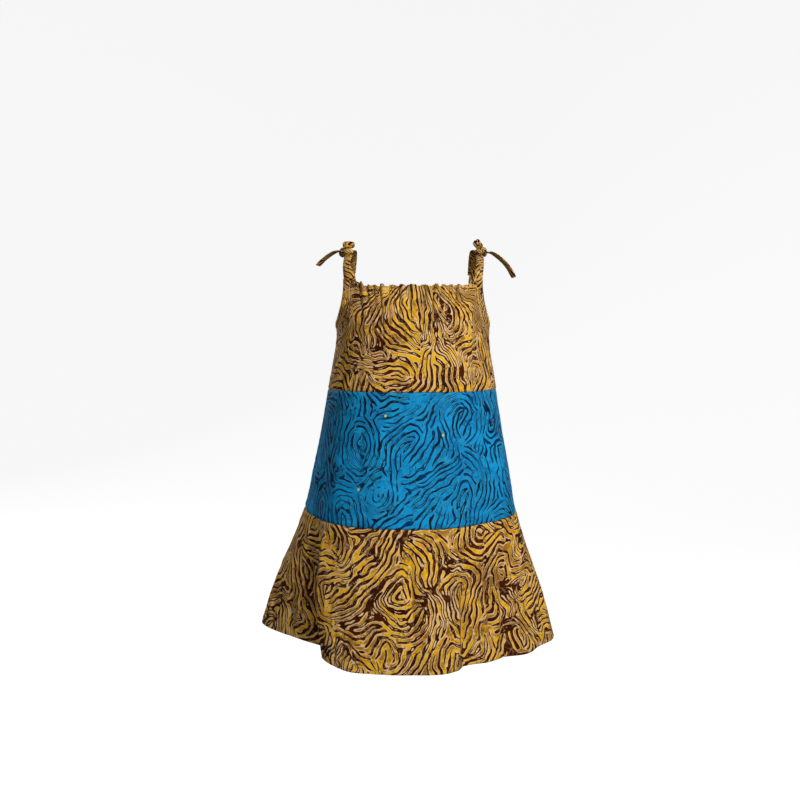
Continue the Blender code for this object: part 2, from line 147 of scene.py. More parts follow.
HEM_FOLDS = [
    HemFold(-172, -172, -10),
    HemFold(-157, -157, 12, 3),
    HemFold(-141, -141, -14),
    HemFold(-124, -124, 10, -3),
    HemFold(-108, -108, -9),
    HemFold(-92, -92, 1, 0, 4),
    HemFold(-80, -78, -6, 0, 10),
    HemFold(-71, -64, -18, 0, 14),
    HemFold(-63, -51, -26, 2, 16),
    HemFold(-56, -40, -35, 7, 12),
    HemFold(-49, -31, -10, -9, 7),
    HemFold(-41, -23, 5, 0, 1),
    HemFold(-22, -12, 5),
    HemFold(2, 2, 5),
    HemFold(17, 13, 5, 3),
    HemFold(27, 24, -13, 0, 3),
    HemFold(34, 32, -6, 0, 4),
    HemFold(42, 40, -14, 0, 3),
    HemFold(51, 50, 0, 0, 2),
    HemFold(62, 62, -4),
    HemFold(76, 76, 2, 0, -5),
    HemFold(90, 90, 0, 0, -7),
    HemFold(104, 104, -9, 0, -3),
    HemFold(120, 120, 11),
    HemFold(136, 136, -13),
    HemFold(152, 152, 13, -3),
    HemFold(170, 170, 9),
]

# Neckline gathers, deeper and sharper than the solids have, with small tucks between them
GATHERS_FRONT = 16
GATHERS_BACK = 15
GATHER_DEPTH = 0.0026
GATHER_FADE = 0.034
GATHER_UNEVEN = 0.5
GATHER_LEAN = 0.16  # the share of a gather that they drift by, GATHER_FADE further down
SCALLOP = 0.0014  # the top edge rises on each gather
SCALLOP_FADE = 0.010
TUCKS_PER_GATHER = 2.3
TUCK_DEPTH = 0.0009
TUCK_FADE = 0.022
SQUEEZE = 0.62  # this much more cloth is in the gathered edge
SQUEEZE_IN_VALLEYS = 0.35  # the share of it that the valleys hide
SQUEEZE_FADE = 0.026

# Finer creases. angle: at the crease's middle. level: mm under the shoulders.
# lean: degrees off plumb, its foot towards the wearer's left. bend: mm at its middle.
Crease = namedtuple("Crease", "angle level run lean bend width depth")
CREASES = {}
CREASES["top_front"] = [
    (-40, 47, 24, 48, 1, 2.4, -1.4),
    (-37, 44, 22, 56, 1, 2.2, 1.2),
    (-43, 60, 30, -30, 0, 3.0, -1.5),
    (-47, 78, 44, -12, 2, 4.0, 1.4),
    (-36, 66, 36, 24, -1, 3.4, -1.2),
    (-31, 86, 60, 8, 2, 5.0, 1.2),
    (-52, 130, 70, -6, 3, 6.0, -1.5),
    (-24, 104, 52, -6, 1, 4.5, -1.0),
    (-10, 92, 44, 4, 1, 4.0, 0.9),
    (-3, 120, 60, 6, -2, 5.5, -1.2),
    (8, 88, 48, -4, 1, 4.0, -0.9),
    (17, 112, 64, 5, 2, 5.5, 1.2),
    (27, 96, 52, -3, -1, 4.5, -1.2),
    (34, 74, 40, -8, 1, 3.4, 1.2),
    (38, 84, 52, 2, 0, 3.2, -1.7),
    (43, 80, 50, 4, 1, 3.0, 1.5),
    (40, 44, 18, -44, 0, 2.2, 1.0),
    (50, 128, 70, 8, -3, 6.0, -1.5),
    (-66, 152, 50, -22, 2, 5.0, 1.4),
    (68, 150, 52, 20, -2, 5.0, 1.4),
    (-76, 124, 30, -48, 1, 4.0, -1.2),
    (77, 126, 32, 46, -1, 4.0, -1.2),
    (-14, 168, 34, 10, 1, 4.5, 0.8),
    (30, 166, 36, -12, 1, 4.5, 0.8),
]
CREASES["top_back"] = [
    (141, 48, 24, -46, 1, 2.4, -1.4),
    (-140, 50, 26, 40, 1, 2.6, -1.4),
    (146, 64, 38, -20, 1, 3.4, 1.4),
    (-148, 70, 40, 18, -1, 3.6, 1.4),
    (138, 84, 50, 10, 2, 4.0, -1.5),
    (-136, 88, 52, -8, -2, 4.0, -1.5),
    (158, 98, 62, -5, 2, 5.0, 1.2),
    (167, 84, 46, 4, 1, 4.0, -1.0),
    (176, 112, 60, -4, -2, 5.5, 1.2),
    (-172, 90, 48, 5, 1, 4.2, -1.0),
    (-163, 106, 58, -3, 1, 5.0, 1.0),
    (-155, 122, 56, 7, 2, 5.0, -1.4),
    (150, 134, 60, -8, 1, 5.5, -1.4),
    (124, 130, 64, -10, 3, 6.0, 1.5),
    (-122, 134, 66, 9, -3, 6.0, 1.5),
    (106, 146, 44, -34, 1, 4.5, -1.4),
    (-104, 148, 46, 30, -1, 4.5, -1.4),
    (170, 166, 36, 14, 1, 4.5, 0.8),
    (-160, 168, 34, -10, 1, 4.5, 0.8),
]
CREASES["middle_front"] = [
    (-17, 280, 140, 3, 3, 12, 2.6),
    (-28, 270, 130, -4, -3, 8, -3.0),
    (-46, 296, 110, -6, 4, 11, 2.0),
    (-60, 318, 84, -9, -2, 8, -2.0),
    (-5, 318, 76, 4, 2, 9, -1.4),
    (6, 250, 84, -3, -2, 10, 1.5),
    (17, 300, 120, 4, 3, 10, 2.2),
    (29, 272, 150, 3, -2, 7, -4.0),
    (38, 290, 130, 6, 3, 8, 2.8),
    (50, 282, 110, 8, -3, 10, -1.7),
    (64, 312, 80, 10, 2, 8, 1.8),
    (-70, 244, 74, -14, 2, 8, 1.5),
    (-80, 300, 90, -8, -2, 8, -1.7),
    (74, 246, 74, 14, -2, 8, -1.5),
    (82, 300, 96, 6, 2, 8, 1.5),
    (-36, 222, 42, 26, 1, 6, 1.0),
    (2, 340, 38, -30, 1, 6, 0.9),
    (44, 222, 40, -28, 1, 6, -1.0),
    (-12, 342, 34, 24, 1, 6, -0.9),
]
CREASES["middle_back"] = [
    (104, 292, 108, -6, 3, 9, -2.0),
    (114, 254, 84, -8, -2, 9, 1.7),
    (127, 300, 116, -4, 3, 10, -2.2),
    (138, 268, 104, 4, -2, 9, 1.8),
    (150, 306, 100, -3, 2, 9, -1.8),
    (161, 270, 124, 2, -3, 11, 2.0),
    (172, 312, 82, -5, 2, 8, -1.5),
    (-177, 252, 86, 4, 2, 10, 1.5),
    (-167, 290, 122, 3, -2, 9, -2.2),
    (-156, 314, 84, -5, 2, 9, 1.7),
    (-146, 266, 110, 6, 3, 9, -1.8),
    (-133, 300, 106, 4, -3, 10, 2.0),
    (-121, 276, 112, 8, 2, 8, -1.8),
    (-108, 308, 88, 9, -2, 9, 1.8),
    (-98, 250, 74, 12, 2, 8, -1.4),
    (144, 224, 44, 28, 1, 6, 1.0),
    (-152, 222, 42, -26, 1, 6, -1.0),
    (168, 342, 36, 26, 1, 6, 0.9),
]
CREASES["hem_front"] = [
    (-84, 470, 120, -7, 3, 8, 2.6),
    (-76, 494, 92, -10, -2, 7, -2.7),
    (-68, 452, 110, -12, 3, 8, 2.6),
    (-60, 500, 84, -14, 2, 6, -3.0),
    (-52, 470, 96, -14, -3, 6, 2.6),
    (-46, 446, 200, -3, 0, 8, -8.0),
    (-30, 440, 200, -2, 0, 7, 5.0),
    (-25, 506, 80, -4, 1, 2.2, -1.8),
    (-22, 502, 92, -6, 1, 2.4, -2.0),
    (-27, 452, 130, -3, 3, 8, 2.4),
    (-21, 482, 104, 4, -2, 6, -2.2),
    (-15, 452, 118, 3, 2, 9, 2.2),
    (-8, 500, 76, -6, 2, 7, -2.1),
    (-2, 436, 84, 5, -2, 8, 1.8),
    (1, 450, 200, 2, 1, 4.5, -6.0),
    (5, 456, 190, 1, 1, 7, 4.5),
    (10, 462, 130, 6, -2, 8, 2.6),
    (16, 468, 190, 3, 2, 5, 6.0),
    (20.5, 474, 190, 3, 2, 4.5, -6.5),
    (25, 496, 90, 8, -1, 5, 2.7),
    (28, 446, 118, 9, 2, 5, -2.4),
    (31, 484, 96, 8, 2, 6, 2.4),
    (36, 446, 200, 4, -3, 5.5, -10.0),
    (40, 450, 200, 4, -3, 6.5, 8.0),
    (46, 462, 92, 18, 3, 7, 2.4),
    (54, 488, 96, 20, -3, 7, -2.7),
    (62, 470, 106, 20, 2, 7, 2.6),
    (70, 502, 76, 18, 2, 6, -2.6),
    (78, 466, 112, 14, -2, 8, 2.4),
    (86, 492, 88, 8, 2, 7, -2.4),
    (-40, 384, 44, -6, 1, 5, -1.4),
    (-17, 388, 52, 5, 1, 5, 1.4),
    (-7, 382, 40, -4, 1, 4.5, -1.3),
    (12, 386, 48, 4, 1, 5, 1.3),
    (25, 384, 44, -3, 1, 4.5, -1.4),
    (44, 388, 50, 8, 1, 5, 1.4),
    (58, 392, 52, 12, 1, 5, -1.6),
    (-58, 396, 54, -12, 1, 5, 1.4),
]
CREASES["hem_back"] = [
    (97, 474, 116, 6, 3, 8, -2.6),
    (106, 496, 86, -6, -2, 7, 2.6),
    (113, 452, 112, -8, 2, 7, -2.2),
    (122, 488, 104, -5, 3, 7, 2.6),
    (130, 506, 70, 6, -2, 6, -2.2),
    (136, 446, 112, 4, 2, 7, -2.4),
    (145, 484, 100, -4, -3, 6, 2.6),
    (152, 462, 124, 3, 2, 8, 2.2),
    (159, 500, 80, -6, 1, 6, -2.4),
    (166, 452, 104, 4, -2, 7, -2.1),
    (174, 486, 110, 5, 3, 8, 2.4),
    (-178, 506, 70, -5, -1, 6, -2.2),
    (-171, 456, 118, -3, 2, 7, -2.4),
    (-163, 492, 96, 6, 2, 7, 2.4),
    (-155, 450, 108, -4, -3, 7, 2.1),
    (-148, 498, 84, 5, 1, 6, -2.4),
    (-141, 458, 122, 4, 2, 7, -2.2),
    (-132, 488, 98, -5, -2, 7, 2.6),
    (-124, 452, 104, 7, 2, 7, 2.1),
    (-116, 502, 78, 8, 1, 6, -2.4),
    (-108, 462, 116, 7, -2, 7, -2.4),
    (-99, 486, 96, 5, 2, 7, 2.4),
    (120, 388, 48, -6, 1, 5, 1.4),
    (142, 384, 44, 5, 1, 5, -1.4),
    (163, 390, 52, -4, 1, 5, 1.4),
    (-176, 384, 42, 4, 1, 5, -1.3),
    (-158, 388, 50, -5, 1, 5, 1.4),
    (-134, 386, 46, 6, 1, 5, -1.4),
    (-112, 392, 50, 9, 1, 5, 1.4),
]

# Bow pieces, as in the solids: out from the neck, back and up, in mm from the knot
KNOT_SIZE = (0.0130, 0.0115, 0.0082)
PINCHED = 0.006
LOOSE = 0.011
TAIL_TILT = 0.3
LOOPS = {
    "loop_upper_right": [
        (-1.5, 0.5, 5.2), (-7.2, 1.5, 7.2), (-7.4, 0.5, 11.8), (-0.5, -1.0, 13.6),
        (6.8, -1.0, 11.6), (6.8, 0.0, 7.2), (1.5, -0.5, 5.2),
    ],
    "loop_upper_left": [
        (0.5, -1.6, 6.0), (-1.5, -5.0, 8.0), (-4.8, -4.6, 13.0), (-5.6, 0.5, 15.0),
        (-2.8, 5.4, 12.0), (0.8, 5.4, 8.0), (2.0, 1.8, 6.0),
    ],
    "loop_back_right": [
        (3.0, 6.1, 1.8), (7.5, 12.0, 6.5), (10.0, 21.0, 6.5), (11.0, 28.0, 0.0),
        (9.5, 23.5, -4.4), (6.5, 14.5, -1.8), (3.0, 6.2, -0.8),
    ],
    "loop_back_left": [
        (3.0, 6.1, 1.8), (6.0, 12.0, 7.0), (7.0, 21.0, 7.0), (8.0, 29.0, 0.5),
        (7.5, 24.0, -4.2), (6.0, 14.5, -1.6), (3.0, 6.2, -0.8),
    ],
}
TAILS = {
    "tail_outer_right": [
        (7.6, 1.0, -0.5), (16.0, 6.0, 1.0), (26.0, 14.0, -2.5), (36.0, 22.0, -8.5),
        (45.5, 29.0, -16.5),
    ],
    "tail_outer_left": [
        (7.6, 1.0, -0.8), (17.0, 6.0, -1.0), (30.0, 14.0, -8.0), (42.0, 22.0, -18.5),
        (52.0, 27.0, -34.0),
    ],
    "tail_back_right": [
        (-3.0, 6.1, 0.4), (-6.0, 15.0, 1.8), (-6.0, 27.0, -2.0), (-5.0, 40.0, -11.0),
        (-3.0, 51.0, -26.0),
    ],
    "tail_back_left": [
        (-3.0, 6.1, 0.4), (-6.5, 15.0, 2.0), (-7.5, 27.0, -1.5), (-8.0, 41.0, -11.5),
        (-8.5, 52.0, -29.0),
    ],
}


# Curves and rings

def hermite(start, leave, end, arrive, t):
    """From start to end as t goes from 0 to 1, with its slopes at both."""
    return (
        start * (1 + 2 * t) * (1 - t) ** 2
        + leave * t * (1 - t) ** 2
        + end * t * t * (3 - 2 * t)
        + arrive * t * t * (t - 1)
    )


def smooth(places, values, at, period=None):
    """A smooth curve through (places, values), read at `at`; a period joins its ends."""
    places = np.asarray(places, float)
    values = np.asarray(values, float).reshape(len(places), -1)
    order = np.argsort(places)
    places, values = places[order], values[order]
    at = np.asarray(at, float)
    if period:
        at = (at - places[0]) % period + places[0]
        places = np.concatenate([places[-2:] - period, places, places[:2] + period])
        values = np.concatenate([values[-2:], values, values[:2]])
    steps = np.diff(places)[:, None]
    rises = np.diff(values, axis=0) / steps
    slopes = np.empty_like(values)
    slopes[0], slopes[-1] = rises[0], rises[-1]
    slopes[1:-1] = (rises[:-1] * steps[1:] + rises[1:] * steps[:-1]) / (steps[1:] + steps[:-1])
    i = np.clip(np.searchsorted(places, at) - 1, 0, len(steps) - 1)
    t = (at - places[i])[..., None] / steps[i]
    return hermite(values[i], slopes[i] * steps[i], values[i + 1], slopes[i + 1] * steps[i], t)


def unit(vectors):
    return vectors / np.linalg.norm(vectors, axis=-1, keepdims=True)


def ease(t):
    t = np.clip(t, 0, 1)
    return t * t * (3 - 2 * t)


def power(value, exponent):
    return np.sign(value) * np.abs(value) ** exponent


def section_at(level):
    rows = smooth([s.level for s in SECTIONS], [s[1:] for s in SECTIONS], level)
    return Section(level, *np.moveaxis(rows, -1, 0))


def folds_at(table, angle):
    """Out, slip and lift at an angle, in metres."""
    rows = [(f.out, f.slip, f.lift) for f in table]
    return smooth([f.angle for f in table], rows, angle, period=360) / 1000


def seam_angle_above(angle):
    drift = [f.seam - f.angle for f in HEM_FOLDS]
    return angle + smooth([f.angle for f in HEM_FOLDS], drift, angle, period=360)[..., 0]


def gather_turns(angle):
    """Which gather an angle lies in, and how far it is from the corners."""
    front = np.abs(angle) < 90
    centre = np.where(front, 0, np.copysign(180, angle))
    corner = np.where(front, FRONT_CORNER, BACK_CORNER)
    count = np.where(front, GATHERS_FRONT, GATHERS_BACK)
    across = (angle - centre) / corner
    turns = (across + 1) / 2 * count
    margin = ease((1 - np.abs(across)) * 4)
    return turns, margin


def gather_phase(turns):
    return 2 * np.pi * (turns + 0.12 * np.sin(turns * 1.7))


def sharp_wave(phase):
    """A wave with round tops and sharp valleys."""
    return 2 * np.abs(np.sin(phase / 2 + np.pi / 4)) ** 0.8 - 1


def gather_at(angle, level):
    """Out and lift of the neckline's gathers, with the small tucks between them."""
    turns, margin = gather_turns(angle)
    uneven = 1 + GATHER_UNEVEN * np.sin(turns * 2.4 + 2.4)
    depth = np.maximum(NECK - level, 0)
    turns = turns + GATHER_LEAN * np.sin(turns * 1.3) * depth / GATHER_FADE
    phase = gather_phase(turns)
    large = GATHER_DEPTH * uneven * np.exp(-depth / (GATHER_FADE * uneven)) * sharp_wave(phase)
    tuck = 2 * np.pi * (turns * TUCKS_PER_GATHER + 0.3 * np.sin(turns * 3.1))
    small = TUCK_DEPTH * np.exp(-depth / TUCK_FADE) * sharp_wave(tuck)
    small *= 1 + 0.6 * np.sin(turns * 4.3)
    lift = SCALLOP * uneven * np.exp(-depth / SCALLOP_FADE) * np.cos(phase + 0.6 * np.sin(tuck))
    return (large + small) * margin, lift * margin


def gathered_width(u, angles, to_top):
    """Flat places across a gathered panel. Its valleys hide part of the extra cloth."""
    turns, margin = gather_turns(angles)
    valley = (0.5 - 0.5 * np.sin(gather_phase(turns))) ** 2
    extra = 1 + SQUEEZE_IN_VALLEYS * (valley / valley.mean() - 1)
    hidden = np.cumsum(np.gradient(u, axis=0) * (extra * margin)[:, None], axis=0)
    hidden -= hidden[len(hidden) // 2]
    return u + SQUEEZE * np.exp(-to_top / SQUEEZE_FADE) * hidden


def displacement(angle, level):
    upper = folds_at(UPPER_SEAM_FOLDS, angle)
    lower = folds_at(LOWER_SEAM_FOLDS, angle)
    fade = ease((UNDERARM - level) / (UNDERARM - UPPER_SEAM))[..., None]
    share = ((UPPER_SEAM - level) / (UPPER_SEAM - LOWER_SEAM))[..., None]
    move = np.where((level > UPPER_SEAM)[..., None], upper * fade, upper + (lower - upper) * share)
    out, lift = gather_at(angle, level)
    move[..., 0] += out
    move[..., 2] += lift
    return move


def ring_point(angle, level):
    s = section_at(level)
    sine, cosine = np.sin(np.radians(angle)), np.cos(np.radians(angle))
    reach = np.where(cosine > 0, s.front, s.back)
    dip = np.where(cosine > 0, s.front_dip, s.back_dip)
    x = s.sway + s.half_width * power(sine, 2 / s.squareness)
    y = -reach * power(cosine, 2 / s.squareness)
    return np.stack([x, y, level - dip * np.abs(cosine)], axis=-1)


def moved_point(angle, level, move):
    """A ring's point, moved out, along the ring and up."""
    step = 0.5
    along = unit(ring_point(angle + step, level) - ring_point(angle - step, level))
    outward = unit(np.cross(along, [0.0, 0.0, 1.0]))
    point = ring_point(angle, level) + outward * move[..., :1] + along * move[..., 1:2]
    point[..., 2] += move[..., 2]
    return point


def body_point(angle, level):
    angle, level = np.broadcast_arrays(np.asarray(angle, float), np.asarray(level, float))
    return moved_point(angle, level, displacement(angle, level))


def hem_tier_point(angle, level):
    """A point on the hem tier's middle surface; the angle is the one at the hem."""
    angle, level = np.broadcast_arrays(np.asarray(angle, float), np.asarray(level, float))
    share = (LOWER_SEAM - level) / (LOWER_SEAM - HEM)
    seam = seam_angle_above(angle)
    upper = folds_at(LOWER_SEAM_FOLDS, seam)
    opened = (np.maximum(share, 0) ** HEM_FOLD_START)[..., None]
    move = upper + (folds_at(HEM_FOLDS, angle) - upper) * opened
    return moved_point(seam + (angle - seam) * share, level, move)


def surface_normal(angle, level):
    step, drop = 0.4, 0.0008
    along = body_point(angle + step, level) - body_point(angle - step, level)
    up = body_point(angle, level + drop) - body_point(angle, level - drop)
    return unit(np.cross(along, up))


def top_level(angle):
    """The level of the upper tier's top edge: the neckline, then the armhole."""
    angle = np.asarray(angle, float)
    front = np.abs(angle) < 90
    corner = np.where(front, FRONT_CORNER, BACK_CORNER)
    off_centre = np.where(front, np.abs(angle), 180 - np.abs(angle))
    reach = np.where(front & (angle < 0), WIDE_CORNER_REACH, CORNER_REACH)
    rise = CORNER_RISE * ease((off_centre - corner + reach) / reach)
    top = NECK + CORNER_RISE
    u = np.clip((off_centre - corner) / (90 - corner), 0, 1)
    p = ARMHOLE_ROUNDNESS
    armhole = top - (top - UNDERARM) * (1 - (1 - u) ** p) ** (1 / p)
    return np.where(off_centre <= corner, NECK + rise, armhole)


def wrapped(angle):
    return (angle + 180) % 360 - 180


# Random fields, which repeat at their edges

CELL = 0.0016
FIELD = (256, 512)  # cells down and across
FINER = 3  # the print is read from cells this many times smaller
WHORL_STRETCH = 1.55
LINE_ROUNDS = 16
LINE_BINS = 14
SHORT_WANDER = 0.0013  # the lines waver this far by hand
LONG_WANDER = 0.0026


def frequencies(shape):
    down = np.fft.fftfreq(shape[0], CELL)[:, None]
    across = np.fft.rfftfreq(shape[1], CELL)[None, :]
    return down, across


def blur(field, scale):
    down, across = frequencies(field.shape)
    soften = np.exp(-2 * (np.pi * scale) ** 2 * (across**2 + down**2))
    return np.fft.irfft2(np.fft.rfft2(field) * soften, s=field.shape)


def noise(random, scale):
    """Soft noise, mostly from -1 to 1, with blobs about scale metres across."""
    field = blur(random.standard_normal(FIELD), scale / 3)
    return field / field.std() / 1.6


def finer(field):
    """The same field on a finer grid."""
    rows, columns = field.shape
    spectrum = np.fft.rfft2(field)
    wide = np.zeros((rows * FINER, columns * FINER // 2 + 1), complex)
    half = rows // 2
    wide[:half, : columns // 2] = spectrum[:half, : columns // 2]
    wide[-half:, : columns // 2] = spectrum[-half:, : columns // 2]
    return np.fft.irfft2(wide, s=(rows * FINER, columns * FINER)) * FINER**2


def landscape(random, whorl):
    """Hills on a staggered grid. The print's lines run round them, like contours."""
    rows, columns = FIELD
    down, across = np.mgrid[0:rows, 0:columns] * CELL
    height, width = rows * CELL, columns * CELL
    hills_down = 2 * round(height / whorl / WHORL_STRETCH**0.5 / 2)
    hills_across = round(width / whorl * WHORL_STRETCH**0.5)
    land = np.zeros(FIELD)
    for r in range(hills_down):
        for c in range(hills_across):
            jitter = random.uniform(-0.3, 0.3, 2)
            u = (c + 0.5 * (r % 2) + jitter[0]) * width / hills_across
            v = (r + 0.5 + jitter[1]) * height / hills_down
            tilt = random.uniform(-0.6, 0.6)
            long = whorl * random.uniform(0.40, 0.60)
            short = long / WHORL_STRETCH / random.uniform(0.85, 1.25)
            du = (across - u + width / 2) % width - width / 2
            dv = (down - v + height / 2) % height - height / 2
            along = dv * math.cos(tilt) + du * math.sin(tilt)
            aside = du * math.cos(tilt) - dv * math.sin(tilt)
            hill = random.choice([1.0, 1.0, -0.8])
            land += hill * np.exp(-((along / long) ** 2) - (aside / short) ** 2)
    return land


def line_direction(random, whorl, wild, plumb, kink):
    """The angle of the print's lines: round the hills, then bent by soft random turns.

    wild splits rings into loops and forks, kink bends them more closely, and plumb leans
    them towards upright.
    """
    land = landscape(random, whorl)
    land = land / land.std() + 0.12 * noise(random, whorl * 0.55)
    fall_down = np.roll(land, -1, 0) - np.roll(land, 1, 0)
    fall_across = np.roll(land, -1, 1) - np.roll(land, 1, 1)
    steepness = np.hypot(fall_down, fall_across)
    steepness = np.sqrt(steepness / steepness.mean())
    twice = 2 * (np.arctan2(fall_down, fall_across) + np.pi / 2)
    cosine, sine = (
        turn * steepness + wild * noise(random, whorl * 0.6) + kink * noise(random, 0.020)
        for turn in (np.cos(twice), np.sin(twice))
    )
    return np.arctan2(blur(sine, 0.002), blur(cosine - plumb, 0.002)) / 2


def contour_lines(random, direction, spacing):
    """Lines along a direction, a spacing apart, that fork where they have to."""
    down, across = frequencies(FIELD)
    rate = 1 / spacing
    combs = []
    for k in range(LINE_BINS):
        turn = math.pi * k / LINE_BINS
        along = across * math.cos(turn) + down * math.sin(turn)
        aside = down * math.cos(turn) - across * math.sin(turn)
        comb = (along / (0.26 * rate)) ** 2 + ((np.abs(aside) - rate) / (0.30 * rate)) ** 2
        combs.append(np.exp(-comb))
    place = (direction % np.pi) / np.pi * LINE_BINS
    field = random.standard_normal(FIELD)
    for _ in range(LINE_ROUNDS):
        spectrum = np.fft.rfft2(field)
        lines = np.zeros(FIELD)
        for k, comb in enumerate(combs):
            gap = np.abs((place - k + LINE_BINS / 2) % LINE_BINS - LINE_BINS / 2)
            lines += np.clip(1 - gap, 0, 1) * np.fft.irfft2(spectrum * comb, s=FIELD)
        field = np.tanh(lines / lines.std() * 1.4)
    return lines / lines.std()


def read_field(layers, u, v):
    """The layers at flat cloth places, in metres."""
    rows, columns = layers.shape[:2]
    cell = CELL / FINER
    y, x = (v / cell) % rows, (u / cell) % columns
    y0, x0 = np.floor(y).astype(int) % rows, np.floor(x).astype(int) % columns
    fy, fx = (y - np.floor(y))[..., None], (x - np.floor(x))[..., None]
    y1, x1 = (y0 + 1) % rows, (x0 + 1) % columns
    upper = layers[y0, x0] * (1 - fx) + layers[y0, x1] * fx
    lower = layers[y1, x0] * (1 - fx) + layers[y1, x1] * fx
    return upper * (1 - fy) + lower * fy


def make_print(seed, whorl, spacing, wild, plumb, kink, line_width):
    """Five layers: place across a line, its width, its pale core, tone, shifted place."""
    random = np.random.default_rng(seed)
    lines = contour_lines(random, line_direction(random, whorl, wild, plumb, kink), spacing)
    strength = np.sqrt(np.maximum(blur(lines**2, spacing * 0.42), 0.02) * 2)
    thick, paired, tone, gate = (noise(random, s) for s in (0.026, 0.030, 0.030, 0.045))
    weak = ease((0.74 - strength) / 0.5) * ease(0.40 + 0.6 * gate)
    core = np.clip(0.02 + 0.22 * paired, 0, 0.20) * (1 - ease(weak * 2))
    width = line_width + 0.12 * thick + 0.09 * noise(random, 0.011) + 0.75 * core + 0.36 * weak
    wave = np.clip(finer(lines / strength), -1, 1)
    place = np.arccos(wave) / np.pi
    shifted = np.roll(place, (1, 1), axis=(0, 1))
    layers = np.stack([place, finer(width), finer(core), finer(tone), shifted], axis=-1)
    down, across = np.mgrid[0 : place.shape[0], 0 : place.shape[1]] * CELL / FINER
    wander_across, wander_down = (
        finer(SHORT_WANDER * noise(random, 0.010) + LONG_WANDER * noise(random, 0.026))
        for _ in range(2)
    )
    return read_field(layers, across + wander_across, down + wander_down)


YELLOW_PRINT = make_print(
    5, whorl=0.084, spacing=0.0077, wild=1.1, plumb=0.2, kink=0.7, line_width=0.44
)
BLUE_PRINT = make_print(
    12, whorl=0.080, spacing=0.0074, wild=1.0, plumb=0.2, kink=0.5, line_width=0.33
)
TIE_PRINT = make_print(
    8, whorl=0.084, spacing=0.0077, wild=0.4, plumb=1.8, kink=0.3, line_width=0.47
)
rumple_random = np.random.default_rng(5)
RUMPLE = np.stack(
    [finer(noise(rumple_random, s)) for s in (0.008, 0.022, 0.045)], axis=-1
)


# Materials

Palette = namedtuple("Palette", "bright dull warm contour ink ink_tint vein")
YELLOW = Palette(
    bright=(0.80, 0.430, 0.008),
    dull=(0.33, 0.155, 0.018),
    warm=(0.74, 0.23, 0.010),
    contour=(0.80, 0.52, 0.26),
    ink=(0.060, 0.011, 0.0),
    ink_tint=(0.034, 0.006, 0.002),
    vein=(0.13, 0.050, 0.010),
)
BLUE = Palette(
    bright=(0.006, 0.295, 0.63),
    dull=(0.005, 0.19, 0.43),
    warm=(0.003, 0.34, 0.58),
    contour=(0.022, 0.28, 0.50),
    ink=(0.001, 0.034, 0.120),
    ink_tint=(0.004, 0.010, 0.026),
    vein=(0.006, 0.06, 0.15),
)
DOT = (0.55, 0.62, 0.05)
DOT_RADIUS = 0.0021
BLUE_DOTS = [(-0.036, 0.032), (0.042, 0.058), (-0.072, 0.132), (1.13, 0.050), (1.02, 0.118)]
WEAVE = 0.0006  # from thread to thread


class Nodes:
    """A new material, whose nodes have their inputs linked or set by name or number."""

    def __init__(self, name):
        self.material = bpy.data.materials.new(name)
        self.material.use_nodes = True
        self.tree = self.material.node_tree
        self.shader = self.tree.nodes["Principled BSDF"]

    def fill(self, node, inputs):
        for key, value in inputs.items():
            if isinstance(value, bpy.types.NodeSocket):
                self.tree.links.new(value, node.inputs[key])
            elif value is not None:
                node.inputs[key].default_value = value

    def add(self, kind, inputs, output=0, **settings):
        node = self.tree.nodes.new(kind)
        for key, value in settings.items():
            setattr(node, key, value)
        self.fill(node, inputs)
        return node.outputs[output]

    def maths(self, operation, a, b=None, c=None):
        return self.add("ShaderNodeMath", {0: a, 1: b, 2: c}, operation=operation)

    def between(self, value, low, high):
        """0 below low, 1 above high and soft between."""
        inputs = {"Value": value, "From Min": low, "From Max": high}
        return self.add("ShaderNodeMapRange", inputs, interpolation_type="SMOOTHSTEP")

    def mix(self, share, a, b):
        a, b = ((*c, 1.0) if isinstance(c, tuple) else c for c in (a, b))
        return self.add("ShaderNodeMix", {0: share, 6: a, 7: b}, output=2, data_type="RGBA")

    def cover(self, colour, share, strength, over):
        """The colour, with another laid over it as far as share and strength say."""
        return self.mix(self.maths("MULTIPLY", share, strength), colour, over)

    def noise(self, vector, size, detail=2.0, output=0):
        inputs = {"Vector": vector, "Scale": 1 / size, "Detail": detail}
        return self.add("ShaderNodeTexNoise", inputs, output)

    def bump(self, height, strength, distance):
        inputs = {"Height": height, "Strength": strength, "Distance": distance}
        return self.add("ShaderNodeBump", inputs)

    def channels(self, name):
        """The three numbers that a piece's points store under a name."""
        stored = self.add("ShaderNodeAttribute", {}, attribute_name=name)
        return [self.add("ShaderNodeSeparateColor", {0: stored}, output=k) for k in range(3)]


def dots_mask(nodes, uv):
    """Small round flecks in the blue print."""
    nearest = None
    for u, v in BLUE_DOTS:
        inputs = {0: uv, 1: (u, v, 0.0)}
        gap = nodes.add("ShaderNodeVectorMath", inputs, output=1, operation="DISTANCE")
        nearest = gap if nearest is None else nodes.maths("MINIMUM", nearest, gap)
    return nodes.between(nearest, DOT_RADIUS, DOT_RADIUS * 0.6)


